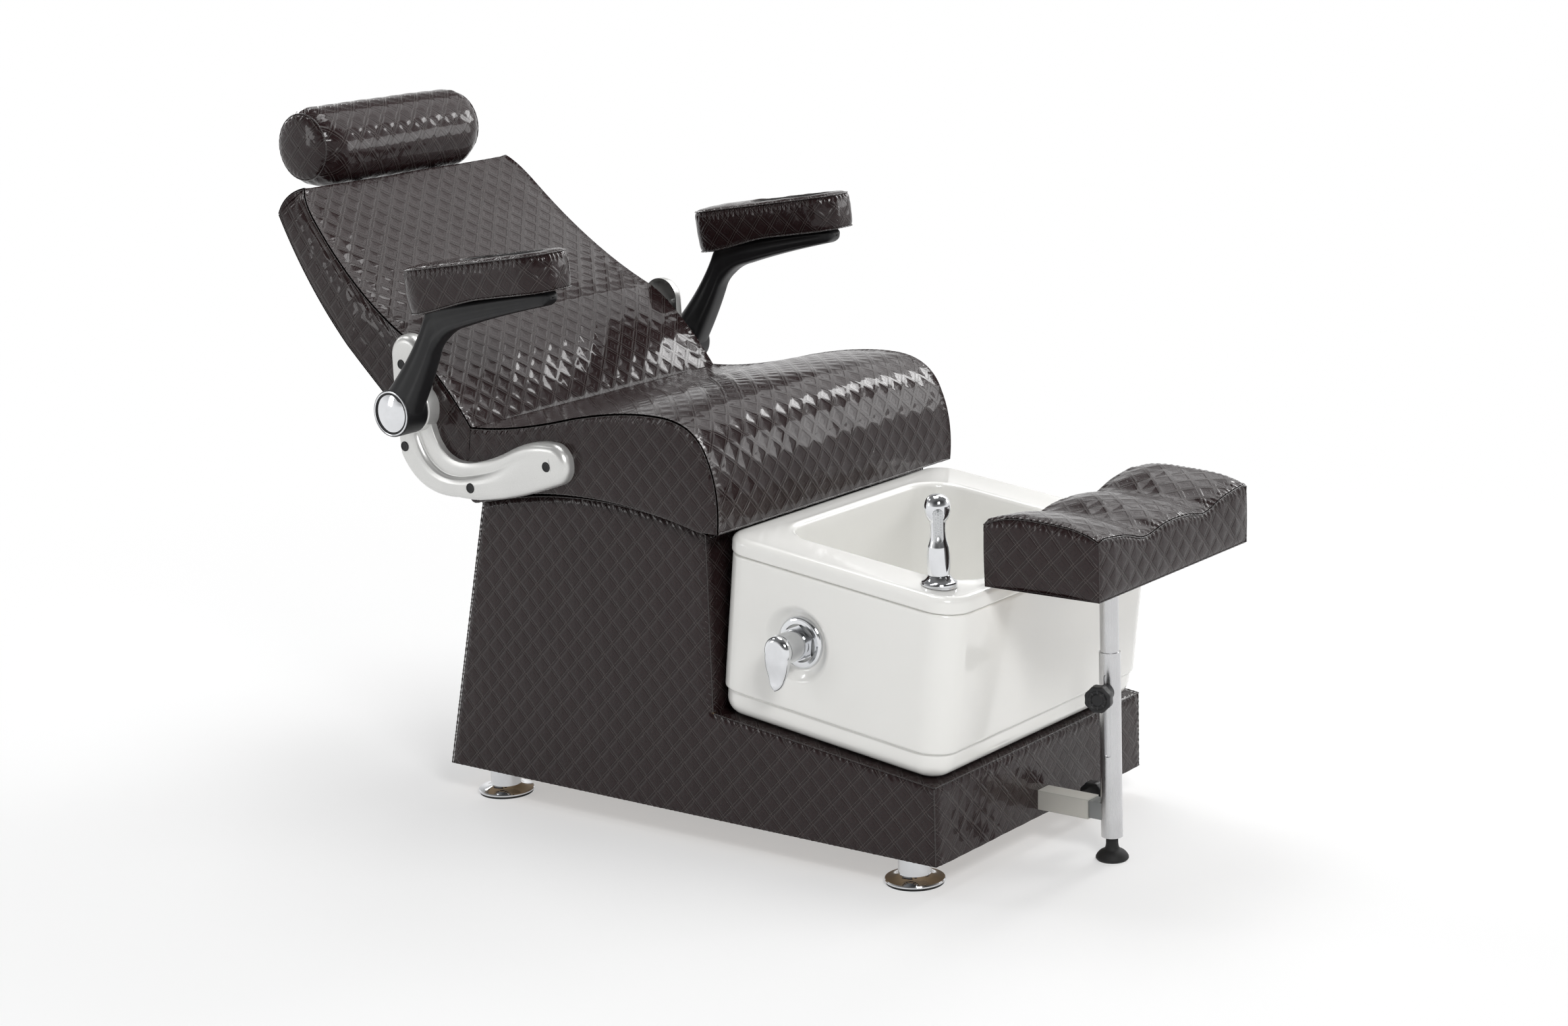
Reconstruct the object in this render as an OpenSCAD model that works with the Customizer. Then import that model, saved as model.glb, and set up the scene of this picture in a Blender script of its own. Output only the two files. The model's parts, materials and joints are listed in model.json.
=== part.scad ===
// Pedicure spa chair: an upholstered cabinet that carries a tilted foot basin and a lounge
// seat, with flip-up armrests, a headrest roll and a legrest on a telescoping post.
// X runs across the chair (the sitter's right is -X), Y from the legrest (-Y) to the
// headrest (+Y), Z up. The shapes are laid out with Y = 0 at the cabinet's front face and
// Z = 0 at the floor; on_row() then puts the origin at the middle of the whole chair.

/* [Seat] */
// Width of the seat across its side seams
seat_w = 600; // [580:5:620]
// Distance of the seat's front face behind the cabinet's front face
seat_front_y = 364; // [356:1:372]
// Height of the seat's nose at its side seams
seat_top_z = 666; // [650:1:690]
// Height of the valley between seat and back at the side seams
valley_z = 614; // [600:1:630]
// Rise of the seat's padding in the middle, over its side seams
seat_crown = 12; // [4:1:18]
// Gap between the cabinet's arched top and the seat's underside
seat_gap = 7.5; // [5:0.5:14]
// Thickness of the bent plywood pan in the seat's underside
pan_t = 15; // [9:1:21]
// Width of the seat pan
pan_w = 460; // [380:5:500]

/* [Back] */
// Width of the back across its top corners
back_top_w = 512; // [440:4:560]
// Height of the back's front top edge
back_top_z = 960; // [900:5:1020]
// How far the back's front top edge lies behind the valley
back_run = 395; // [360:5:430]
// Thickness of the back at its top edge
back_top_t = 57; // [45:1:70]
// Height of the round on the back's top edge
back_top_round = 10; // [4:1:14]
// Rise of the back's padding in the middle, over its side seams
back_crown = 12; // [4:1:18]
// Thickness of the plywood board in the back
back_board_t = 15; // [9:1:18]

/* [Headrest] */
// Diameter of the headrest roll
roll_d = 124; // [100:2:130]
// Length of the roll between its end seams
roll_len = 360; // [300:5:420]
// How far each end of the roll is domed
roll_dome = 12; // [4:1:20]
// Gap between the roll and the back's top edge
roll_gap = 12; // [6:1:24]
// Diameter of the wooden core in the roll
roll_core_d = 44; // [36:1:60]
// Diameter of the two headrest rods
rod_d = 10; // [8:1:12]
// Distance between the headrest rods
rod_pitch = 180; // [140:5:220]
// Length of the rods inside the back
rod_depth = 130; // [100:5:150]
// How far the headrest pulls out
headrest_travel = 60; // [30:5:80]

/* [Cabinet] */
// Distance of the basin's sides inside the cabinet's sides
basin_side_in = 3; // [1:0.5:6]
// Length of the cabinet at its lower edge
base_len = 955; // [920:5:990]
// Height of the cabinet's lower edge above the floor
base_lift = 48; // [40:1:56]
// Height of the deck's front edge above the floor
deck_front_z = 168; // [165:1:172]
// Distance from the cabinet's front face to its riser
riser_y = 402; // [400:1:406]
// Height of the tall part at the two ends of its arched top
base_top_z = 492; // [489:1:500]
// Rise of the arched top
arch_rise = 29; // [20:1:40]
// How far the rear face leans in towards its top
rear_lean = 103; // [80:1:120]
// Slope of the deck and of the basin on it, in degrees
tilt = 7; // [6.8:0.1:7.2]
// Thickness of the padded vinyl skin
skin_t = 4; // [3:0.5:6]
// Thickness of the plywood boards
board_t = 15; // [12:1:18]
// Thickness of the cabinet's floor board
floor_t = 12; // [9:0.5:12]
// Thickness of the cross rails under the seat
rail_t = 30; // [20:1:40]
// Depth of the cross rails
rail_h = 60; // [40:1:80]

/* [Feet] */
// Diameter of the foot tubes
foot_d = 49; // [40:1:56]
// Diameter of the foot flanges
foot_flange_d = 90; // [76:1:100]
// Height of the foot flanges
foot_flange_h = 11; // [8:1:16]
// Thickness of the pads under the feet
foot_pad_t = 4; // [3:0.5:6]
// Distance of each foot's axis from the cabinet's side faces
foot_side_in = 47; // [46:1:60]
// Distance of the front feet behind the cabinet's front face
foot_front_in = 72; // [50:1:90]
// Distance of the rear feet from the cabinet's rear lower edge
foot_rear_in = 76; // [60:1:90]

/* [Basin] */
// Width of the basin's skirt
basin_w = 556; // [552:1:560]
// How far the skirt's front reaches ahead of the deck's front edge, along the slope
basin_ahead = 4; // [0:0.5:5]
// Distance from the deck's front edge to the skirt's rear wall, along the slope
basin_back = 410; // [405:0.5:411]
// Height of the basin, square to the deck
basin_h = 280; // [277:0.5:281]
// Corner radius of the skirt
basin_r = 45; // [30:1:60]
// Wall thickness of the acrylic
acrylic_t = 4; // [3:0.5:6]
// Height of the liner's lip
lip_h = 24; // [18:1:30]
// How far the lip stands proud of the skirt
lip_out = 2; // [1:0.5:2.5]
// Height of the skirt's plinth
plinth_h = 43; // [34:1:80]
// How far the plinth is set in at its top
plinth_in = 5; // [3:0.5:8]
// Radius of the round under the plinth
plinth_round = 27; // [20:1:32]
// Width of the basin's rim on each side of the bowl
rim_side = 80; // [76:1:88]
// Front edge of the bowl's opening, along the slope from the deck's front edge
bowl_front = 34; // [30:1:50]
// Rear edge of the bowl's opening, along the slope
bowl_back = 364; // [350:1:368]
// Height of the bowl's floor above the deck
bowl_floor_h = 40; // [34:1:50]
// How far the bowl's walls lean in towards the floor
bowl_lean = 18; // [10:1:24]
// Corner radius of the bowl's opening
bowl_r = 60; // [50:1:70]

/* [Drain] */
// Outer diameter of the drain flange
drain_d = 58; // [52:1:70]
// Outer diameter of the waste tube
waste_d = 36; // [32:1:40]
// Diameter of the drain plug
plug_d = 44; // [40:0.5:48]
// How far the plug lifts
plug_travel = 10; // [6:1:14]

/* [Mixer tap] */
// Place of the mixer along the slope
mixer_along = 262; // [240:1:280]
// Height of the mixer above the deck, square to the slope
mixer_up = 147; // [140:1:155]
// Diameter of the round recess in the skirt
dish_d = 112; // [100:1:118]
// Depth of the recess
dish_depth = 13; // [8:1:16]
// Outer diameter of the mixer's ring
ring_d = 79; // [70:1:84]
// Diameter of the mixer's body
mixer_d = 46; // [40:1:48]
// How far the mixer reaches out of the skirt
mixer_reach = 52; // [44:1:60]
// Length of the lever's paddle below the mixer's axis
paddle_len = 62; // [50:1:70]

/* [Hand shower] */
// Distance of the hand shower's axis from the bowl's opening
shower_in = 28; // [26:1:34]
// Distance of the hand shower behind the cabinet's front face
shower_y = 21; // [18:1:30]
// Diameter of the collar's flange
collar_d = 52; // [44:1:56]
// Diameter of the handset's stem
stem_d = 24; // [20:1:26]
// Height of the handset above the rim
handset_h = 132; // [120:1:150]

/* [Brackets] */
// Thickness of the side brackets
bracket_t = 22; // [16:1:26]
// Width of the brackets' upright leg
bracket_leg_w = 70; // [60:1:76]
// How far the hub's boss stands proud of the bracket
boss_h = 3; // [2:0.5:5]
// Diameter of the bracket bolts
bolt_d = 8; // [6:1:10]
// Diameter of the black screw caps
bolt_cap_d = 17; // [14:1:20]

/* [Armrests] */
// How far the hub lies behind the valley
hub_behind = 100; // [95:1:105]
// Height of the hub above the valley
hub_up = 26; // [22:1:30]
// Diameter of the hub
hub_d = 74; // [68:1:78]
// Thickness of the arm at its hub
arm_t = 46; // [40:1:52]
// Diameter of the axle
axle_d = 16; // [12:1:20]
// Radial clearance of the running fits
run_fit = 0.06; // [0.03:0.01:0.09]
// Thickness of the chrome hub cap
hub_cap_t = 5; // [3:0.5:8]
// Width of the arm pad
pad_w = 94; // [80:1:100]
// Length of the arm pad
pad_len = 296; // [280:2:330]
// Thickness of the arm pad at its side seams
pad_t = 58; // [48:1:66]
// Rise of the arm pad's padding in the middle
pad_crown = 9; // [4:1:14]
// Slope of the arm pad, up towards the front, in degrees
pad_pitch = 8.3; // [6:0.1:10]
// Length of the tray set into the arm pad
tray_len = 150; // [120:2:170]
// Width of the tray
tray_w = 54; // [44:1:60]
// Depth of the tray
tray_depth = 24; // [16:1:30]
// How far each armrest flips up, in degrees
arm_flip = 85; // [60:1:90]

/* [Legrest] */
// Width of the legrest
leg_w = 410; // [380:2:440]
// Depth of the legrest
leg_depth = 190; // [170:1:200]
// Height of the legrest's underside above the floor
leg_bottom_z = 452; // [450:1:470]
// Gap between the legrest's rear face and the basin's lip
leg_gap = 2; // [1.5:0.5:6]
// Height of the legrest's sides
leg_side_h = 91; // [80:1:100]
// How much lower the legrest's middle is than its sides
leg_sag = 12; // [6:1:18]
// Depth of the two calf channels
channel_depth = 11; // [6:1:16]
// Distance of each calf channel from the middle
channel_x = 82; // [70:1:95]
// Width measure of the calf channels
channel_w = 38; // [28:1:46]
// Rise of the legrest's padding between its seams
leg_crown = 14; // [6:1:18]
// Thickness of the board in the legrest
leg_board_t = 12; // [9:1:18]

/* [Post] */
// Distance of the post ahead of the cabinet's front face
post_ahead = 120; // [116:1:130]
// Diameter of the outer tube
outer_d = 32; // [30:0.5:36]
// Diameter of the inner tube
inner_d = 28; // [26:0.25:28]
// Wall thickness of both tubes
tube_t = 2; // [1.5:0.1:2]
// Height of the outer tube's lower end
outer_bottom_z = 36; // [34:0.5:40]
// Height of the outer tube's upper end
outer_top_z = 319; // [310:1:330]
// Height of the clamp screw of the post
knob_z = 262; // [255:1:268]
// Angle by which the clamp slot is turned from -X towards the front, in degrees
slot_turn = 14; // [0:1:20]
// How far the legrest can be raised
leg_raise = 20; // [8:1:22]
// How far the legrest can be lowered
leg_lower = 95; // [60:1:100]
// How far the legrest can be drawn out
leg_reach = 150; // [100:5:170]
// Size of the square sleeve
sleeve_w = 30; // [28:0.5:32]
// Wall thickness of the sleeve
sleeve_t = 1.8; // [1.5:0.1:2.5]
// How far the sleeve stands out of the cabinet
sleeve_out = 88; // [84:0.5:90]
// Length of the sleeve inside the cabinet
sleeve_in = 300; // [280:5:320]
// Diameter of the clamp knobs
knob_d = 42; // [36:1:46]
// Thickness of the clamp knobs' heads
knob_t = 18; // [14:1:22]
// Diameter of the clamp screws
screw_d = 8; // [6:0.5:9]
// Diameter of the levelling foot
level_d = 49; // [40:1:54]

/* [Hidden] */
$fn = 64;
eps = 0.01;
gap = 0.3;

// Slope
tan_t = tan(tilt);
cos_t = cos(tilt);
sin_t = sin(tilt);
function deck_z(y) = deck_front_z + y * tan_t;
// Place in the chair of a point of the basin at v along the slope and w above it
function basin_y(v, w) = v * cos_t - w * sin_t;
function basin_z(v, w) = deck_front_z + v * sin_t + w * cos_t;

// Length past everything that a cut goes through
beyond = base_len;

// Cabinet
half_base = basin_w / 2 + basin_side_in;
half_in = half_base - skin_t - board_t;
rear_top_y = base_len - rear_lean;
arch_c = rear_top_y - riser_y;
arch_r = (arch_c * arch_c / 4 + arch_rise * arch_rise) / (2 * arch_rise);
arch_y = (riser_y + rear_top_y) / 2;
arch_z = base_top_z + arch_rise - arch_r;
rear_cos = cos(atan(rear_lean / (base_top_z - base_lift)));
function rear_y(z) = base_len - rear_lean * (z - base_lift) / (base_top_z - base_lift);
floor_top_z = base_lift + floor_t;
// Play in which the sloping rear board is fitted
glue = 0.05;
rear_rise = base_top_z + arch_rise;

// Seat and back
half_seat = seat_w / 2;
seat_r = arch_r + seat_gap;
function seat_bottom(y) = arch_z + sqrt(seat_r * seat_r - pow(y - arch_y, 2));
lip_z = seat_bottom(riser_y);
valley_y = rear_top_y - 4;
split_y = valley_y + 14;
split_z = seat_bottom(rear_top_y) + 8;
seat_nose = 106;
seat_nose_y = seat_front_y + seat_nose;
pan_front_y = riser_y + skin_t + board_t + 4;
pan_rear_y = rear_top_y - 34;
// Depth by which the rails pass under the cushion beside the pan
rail_drop = 2;
rail_front_y = riser_y + skin_t + board_t;
rail_rear_y = rear_y(base_top_z) - (skin_t + board_t) / rear_cos - rail_t;
back_top_y = valley_y + back_run;
taper_z = valley_z + 111;
back_lean = atan((back_top_y - valley_y) / (back_top_z - valley_z));
back_n = [-cos(back_lean), sin(back_lean)];
top_lean = 45;
top_dir = [cos(top_lean), -sin(top_lean)];
top_up = [sin(top_lean), cos(top_lean)];
back_top = [back_top_y, back_top_z];
back_rear_top = back_top + top_dir * back_top_t;
split_gap = 0.4;

// Headrest: its rods run along top_up, through the middle of the back's top edge
roll_r = roll_d / 2;
rod_in = back_top + top_dir * back_top_t * 0.5;
roll_ahead = 27;
rod_reach = back_top_round + roll_gap + roll_r;
roll_c = rod_in + top_up * rod_reach - top_dir * roll_ahead;
core_c = rod_in + top_up * rod_reach - top_dir * 6;
guide_d = rod_d + 8;
guide_len = 70;
guide_rim = 1.5;
rod_clear = 4;
core_half = roll_len / 2 - 14;
// The back's board: its length, and its place from the top edge, the sides and the rods
board_len = 300;
board_from = 60;
board_side_in = 60;
board_behind = 12;

// Basin
half_basin = basin_w / 2;
bowl_w = basin_w - 2 * rim_side;
basin_front = -basin_ahead;
lip_front_y = basin_y(basin_front - lip_out, basin_h);
wall_top = basin_h - lip_h;
bowl_mid = (bowl_front + bowl_back) / 2;

// Mixer: its body ends clear of the bowl, and its tails leave it near that end
dish_x = half_basin - dish_depth;
tail_in = 24;
mixer_inner_x = bowl_w / 2 + 3 + tail_in;
mixer_out_x = half_basin + mixer_reach;
head_t = 30;
lever_t = 13;
head_x = mixer_out_x - lever_t - gap;
body_x = head_x - head_t - gap;
cartridge_d = 26;
cartridge_in = 20;
ring_play = 2;
ring_t = 6;
nut_t = 9;
tail_d = 12;
tail_pitch = 28;
tail_down = 50;
paddle_t = 6;
// The lever's pivot: a barrel on the lever's inner face, half sunk in the head
pivot_d = 6;
pivot_len = 18;
pivot_up = 18;
lever_lift = 20;

// Shower
shower_x = bowl_w / 2 + shower_in;
rim_z = (basin_h / cos_t) + deck_z(shower_y);
collar_h = 14;
gland_h = 34;
stem_in = 32;
gland_floor = 4;
hose_d = 14;

// Brackets and armrests
hub_y = valley_y + hub_behind;
hub_z = valley_z + hub_up;
hub_r = hub_d / 2;
boss_x = half_seat + bracket_t + boss_h;
arm_x0 = boss_x + gap;
arm_x1 = arm_x0 + arm_t;
neck_in = 5;
axle_head_d = 24;
axle_head_t = 4;
axle_sink = 9;
pad_x = (arm_x0 + neck_in + arm_x1) / 2;
// Rear lower end of the pad's underside, from the hub
pad_y0 = -58;
pad_z0 = 172.5;
function pad_line(y) = pad_z0 - (y - pad_y0) * tan(pad_pitch);
// Places of the bolts: two in the seat, counted from its rear end, and two in the back
low_bolt_in = 27;
low_bolt_up = 20;
toe_bolt_in = 188;
toe_bolt_up = 47;
hub_bolt_down = 63;
hub_bolt_up = 68;
hub_bolt_behind = 23;
bolt_points = [
    [split_y - low_bolt_in, seat_bottom(split_y - low_bolt_in) + low_bolt_up],
    [split_y - toe_bolt_in, seat_bottom(split_y - toe_bolt_in) + toe_bolt_up],
    [hub_y + hub_bolt_behind, hub_z - hub_bolt_down],
    [hub_y + hub_bolt_behind - 4, hub_z + hub_bolt_up]
];
bolt_in = 40;
cap_sink = 12;
cap_t = 6;

// Legrest and post
half_leg = leg_w / 2;
leg_rear_y = lip_front_y - leg_gap;
leg_front_y = leg_rear_y - leg_depth;
leg_y = (leg_front_y + leg_rear_y) / 2;
post_y = -post_ahead;
leg_plate_t = 4;
leg_plate_w = 160;
leg_plate_len = 120;
plug_t = 12;
inner_bottom_z = outer_bottom_z + plug_t + leg_lower + 3;
outer_bore_d = inner_d + 2 * run_fit;
slot_w = screw_d + 1.6;
slot_top_z = knob_z + leg_raise + slot_w / 2 + 1;
slot_bottom_z = knob_z - leg_lower - slot_w / 2 - 1;
bar_w = sleeve_w - 2 * sleeve_t - 2 * gap;
sleeve_z = floor_top_z + sleeve_w / 2;
bar_in = 160;
// Half the length of the inner tube's threaded lug
lug = 8;
knob_hub_d = 24;
knob_hub_t = 28;
reach_knob_y = -56;
stud_d = 8;

// Middle of the whole chair along Y
row_front_y = leg_front_y;
row_rear_y = roll_c[0] + roll_r;
mid_y = (row_front_y + row_rear_y) / 2;

// ---------------------------------------------------------------- helpers

module on_row() translate([0, -mid_y, 0]) children();

// Children are drawn for the sitter's right (-X); left mirrors them
module hand(left) mirror([left ? 1 : 0, 0, 0]) children();

// Extrudes a (Y, Z) outline from x0 to x1
module across(x0, x1) translate([x0, 0, 0]) rotate([90, 0, 90])
    linear_extrude(x1 - x0) children();

// Cylinder along X from x0 to x1
module rod_x(x0, x1, d) translate([x0, 0, 0]) rotate([0, 90, 0])
    cylinder(d = d, h = x1 - x0);

// Local frame of the deck: x, v along the slope, w square to it
module on_deck() translate([0, 0, deck_front_z]) rotate([tilt, 0, 0]) children();

// Rectangle with round corners
module round_rect(x0, x1, y0, y1, r) {
    translate([x0 + r, y0]) square([x1 - x0 - 2 * r, y1 - y0]);
    translate([x0, y0 + r]) square([x1 - x0, y1 - y0 - 2 * r]);
    for (x = [x0 + r, x1 - r], y = [y0 + r, y1 - r]) translate([x, y]) circle(r);
}

// Slot outline along x
module stadium(len, w) {
    square([len - w, w], center = true);
    for (s = [-1, 1]) translate([s * (len - w) / 2, 0]) circle(d = w);
}

// Points of a quadratic curve from a to c, without c
function bend(a, b, c, n) = [for (i = [0 : n - 1]) let (t = i / n)
    (1 - t) * (1 - t) * a + 2 * t * (1 - t) * b + t * t * c];

// Closed skin through rings of points; each ring runs out along one curve and back
// along another, so that its ends close with a ladder between the two
module loft(rings) {
    m = len(rings);
    k = len(rings[0]);
    points = [for (r = rings) each r];
    sides = [for (j = [0 : m - 2], i = [0 : k - 1])
        let (a = j * k + i, b = j * k + (i + 1) % k) each [[a, b, b + k], [a, b + k, a + k]]];
    rungs = [for (i = [0 : k / 2 - 2]) each [[i, k - 1 - i, k - 2 - i], [i, k - 2 - i, i + 1]]];
    last = [for (t = rungs) [for (p = [t[0], t[2], t[1]]) p + (m - 1) * k]];
    polyhedron(points, concat(sides, rungs, last), convexity = 6);
}

// Stations of a cushion from -1 to 1, closer together at its seams
stations = [-1, -0.97, -0.9, -0.75, -0.45, 0, 0.45, 0.75, 0.9, 0.97, 1];
function swell(s) = 1 - pow(abs(s), 3);
function hump(t) = pow(max(0, sin(180 * t)), 0.6);

// ---------------------------------------------------------------- cabinet

// Outline of the cabinet's side, moved in by e, from height z0 to height z1
module base_outline(e, z0, z1) polygon([
    [e, z0],
    [e, deck_z(e) - e / cos_t],
    [riser_y + e, deck_z(riser_y + e) - e / cos_t],
    [riser_y + e, z1],
    [rear_y(z1) - e / rear_cos, z1],
    [rear_y(z0) - e / rear_cos, z0]
]);

module arch(r) translate([arch_y, arch_z]) circle(r, $fn = 240);

module drain_hole(d) on_deck() translate([0, bowl_mid, -plinth_h]) cylinder(d = d, h = 2 * plinth_h);

module tail_holes(d) on_deck()
    for (s = [-1, 1]) translate([-mixer_inner_x, mixer_along + s * tail_pitch / 2, -plinth_h])
        cylinder(d = d, h = 2 * plinth_h);

module base_skin() on_row() color([0.24, 0.2, 0.19]) difference() {
    across(-half_base, half_base) intersection() {
        base_outline(0, base_lift, rear_rise);
        arch(arch_r);
    }
    across(-half_base + skin_t, half_base - skin_t)
        base_outline(skin_t, base_lift - 1, rear_rise + 1);
    translate([-sleeve_w / 2, -1, floor_top_z]) cube([sleeve_w, skin_t + 2, sleeve_w]);
    drain_hole(waste_d + 4);
    tail_holes(tail_d + 3);
}

module side_board(left) on_row() color([0.78, 0.62, 0.42]) hand(left)
    across(-half_base + skin_t, -half_in) intersection() {
        base_outline(skin_t, base_lift, rear_rise);
        arch(arch_r - skin_t);
    }

module rear_board() on_row() color([0.78, 0.62, 0.42])
    across(-half_in, half_in) difference() {
        base_outline(skin_t + glue, base_lift, base_top_z - skin_t);
        translate([0, base_lift - 1]) polygon([
            [0, 0],
            [rear_y(base_lift - 1) - (skin_t + board_t) / rear_cos, 0],
            [rear_y(base_top_z) - (skin_t + board_t) / rear_cos, base_top_z - base_lift + 1],
            [0, base_top_z - base_lift + 1]
        ]);
    }

module riser_board() on_row() color([0.78, 0.62, 0.42])
    across(-half_in, half_in) translate([riser_y + skin_t, floor_top_z])
        square([board_t, base_top_z - skin_t - floor_top_z]);

module deck_board() on_row() color([0.78, 0.62, 0.42]) difference() {
    across(-half_in, half_in) polygon([
        [skin_t, deck_z(skin_t) - skin_t / cos_t],
        [riser_y + skin_t, deck_z(riser_y + skin_t) - skin_t / cos_t],
        [riser_y + skin_t, deck_z(riser_y + skin_t) - (skin_t + board_t) / cos_t],
        [skin_t, deck_z(skin_t) - (skin_t + board_t) / cos_t]
    ]);
    drain_hole(waste_d + 4);
    tail_holes(tail_d + 3);
}

module front_board() on_row() color([0.78, 0.62, 0.42]) difference() {
    across(-half_in, half_in) polygon([
        [skin_t, base_lift],
        [skin_t, deck_z(skin_t) - (skin_t + board_t) / cos_t],
        [skin_t + board_t, deck_z(skin_t + board_t) - (skin_t + board_t) / cos_t],
        [skin_t + board_t, base_lift]
    ]);
    translate([-sleeve_w / 2, 0, floor_top_z])
        cube([sleeve_w, skin_t + board_t + 1, sleeve_w]);
}

module floor_board() on_row() color([0.78, 0.62, 0.42])
    across(-half_in, half_in) polygon([
        [skin_t + board_t, base_lift],
        [skin_t + board_t, floor_top_z],
        [rear_y(floor_top_z) - (skin_t + board_t) / rear_cos, floor_top_z],
        [rear_y(base_lift) - (skin_t + board_t) / rear_cos, base_lift]
    ]);

// The rails carry the pan, and pass a little under the cushion beside and beyond it
module seat_rails() on_row() color([0.7, 0.53, 0.34])
    for (y = [rail_front_y, rail_rear_y]) {
        across(-half_in, half_in) intersection() {
            translate([y, base_top_z - rail_h]) square([rail_t, rail_h + arch_rise]);
            arch(seat_r - rail_drop);
        }
        across(1 - pan_w / 2, pan_w / 2 - 1) intersection() {
            translate([y, base_top_z - rail_h]) square([rail_t, rail_h + arch_rise]);
            arch(seat_r);
            translate([pan_front_y, 0]) square([pan_rear_y - pan_front_y, seat_top_z]);
        }
    }

// ---------------------------------------------------------------- feet

module foot(left, y) on_row() color([0.8, 0.81, 0.83]) hand(left)
    translate([-half_base + foot_side_in, y, foot_pad_t]) rotate_extrude() polygon(concat(
        [[0, 0], [foot_flange_d / 2, 0], [foot_flange_d / 2, 2]],
        bend([foot_flange_d / 2 - 1, 3.5], [foot_d / 2 + 4, 5], [foot_d / 2, foot_flange_h], 8),
        [[foot_d / 2, foot_flange_h], [foot_d / 2, base_lift - foot_pad_t],
            [0, base_lift - foot_pad_t]]
    ));

foot_ys = [foot_front_in, base_len - foot_rear_in];

module foot_pads() on_row() color([0.05, 0.05, 0.05])
    for (left = [false, true], y = foot_ys) hand(left)
        translate([-half_base + foot_side_in, y, 0])
            cylinder(d = foot_flange_d - 4, h = foot_pad_t);

// ---------------------------------------------------------------- basin

// Level outline of the skirt, moved in by e
module basin_outline(e) round_rect(
    -half_basin + e, half_basin - e, basin_front + e, basin_back - e, basin_r - e);

// Dished recess around the mixer, a cone with a flat floor, grown by e
module dish(e) translate([0, mixer_along, mixer_up]) rotate([0, -90, 0])
    rotate_extrude() polygon([
        [0, dish_x - e], [ring_d / 2 + ring_play + e, dish_x - e],
        [dish_d / 2 + e, half_basin], [dish_d / 2 + e, half_basin + 1],
        [0, half_basin + 1]
    ]);

// Plinth with a round under it, moved in by e
module plinth(e) hull() for (a = [0 : 22.5 : 90])
    translate([0, 0, a < 90 ? plinth_round * (1 - cos(a)) : plinth_h - 1]) linear_extrude(1)
        basin_outline(plinth_in + plinth_round * (1 - sin(a)) + e, $fn = 32);

module basin_skirt() on_row() color([0.93, 0.93, 0.92]) on_deck() difference() {
    union() {
        difference() {
            union() {
                translate([0, 0, plinth_h]) linear_extrude(wall_top - plinth_h) basin_outline(0);
                plinth(0);
            }
            translate([0, 0, plinth_h + acrylic_t]) linear_extrude(basin_h)
                basin_outline(acrylic_t);
            plinth(acrylic_t);
            translate([0, 0, plinth_h - 2]) linear_extrude(acrylic_t + 3)
                basin_outline(plinth_in + acrylic_t);
            translate([0, 0, -1]) linear_extrude(2)
                basin_outline(plinth_in + plinth_round + acrylic_t);
        }
        intersection() {
            dish(acrylic_t);
            translate([-half_basin, 0, 0]) cube([half_basin, basin_back, basin_h]);
        }
    }
    dish(0);
    translate([0, mixer_along, mixer_up]) rod_x(-half_basin, -dish_x + 10, mixer_d + 8);
}

// Tapered bowl, moved in by e, down to height w
module bowl(e, w) hull() {
    translate([0, 0, basin_h - 1]) linear_extrude(2, $fn = 32) round_rect(
        -bowl_w / 2 + e, bowl_w / 2 - e, bowl_front + e, bowl_back - e, bowl_r - e);
    translate([0, 0, w]) linear_extrude(1, $fn = 32) round_rect(
        -bowl_w / 2 + bowl_lean + e, bowl_w / 2 - bowl_lean - e,
        bowl_front + bowl_lean + e, bowl_back - bowl_lean - e, bowl_r - e);
}

module basin_liner() on_row() color([0.95, 0.95, 0.94]) difference() {
    on_deck() difference() {
        union() {
            difference() {
                translate([0, 0, wall_top]) linear_extrude(lip_h) basin_outline(-lip_out);
                translate([0, 0, wall_top - 1]) linear_extrude(lip_h + 1 - acrylic_t)
                    basin_outline(acrylic_t - lip_out);
            }
            intersection() {
                bowl(-acrylic_t, bowl_floor_h - acrylic_t);
                translate([-half_basin, basin_front, 0])
                    cube([basin_w, basin_back - basin_front, basin_h]);
            }
        }
        bowl(0, bowl_floor_h);
        translate([0, bowl_mid, 0]) cylinder(d = waste_d + 1, h = basin_h);
    }
    translate([-shower_x, shower_y, rim_z - 20]) cylinder(d = stem_d + 4, h = 40);
}

module drain_flange() on_row() color([0.8, 0.81, 0.83])
    on_deck() translate([0, bowl_mid, bowl_floor_h]) rotate_extrude() polygon([
        [plug_d / 2 + 1.5, 1.5], [drain_d / 2, 0], [waste_d / 2, 0], [waste_d / 2, -12],
        [waste_d / 2 - 3, -12], [waste_d / 2 - 3, 0.5]
    ]);

module drain_plug() on_row() color([0.82, 0.83, 0.85])
    on_deck() translate([0, bowl_mid, bowl_floor_h]) {
        translate([0, 0, 1.5 + gap]) rotate_extrude() polygon(concat(
            bend([0, 7], [plug_d / 3, 7], [plug_d / 2, 0], 8), [[plug_d / 2, 0], [0, 0]]));
        translate([0, 0, -40]) cylinder(d = 8, h = 42);
    }

module waste_tube() on_row() color([0.75, 0.76, 0.78])
    on_deck() translate([0, bowl_mid, bowl_floor_h]) rotate_extrude() polygon([
        [waste_d / 2 - 3, -12], [waste_d / 2, -12], [waste_d / 2, -88], [waste_d / 2 - 3, -88]
    ]);

// ---------------------------------------------------------------- mixer

module at_mixer() on_deck() translate([0, mixer_along, mixer_up]) children();

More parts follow.
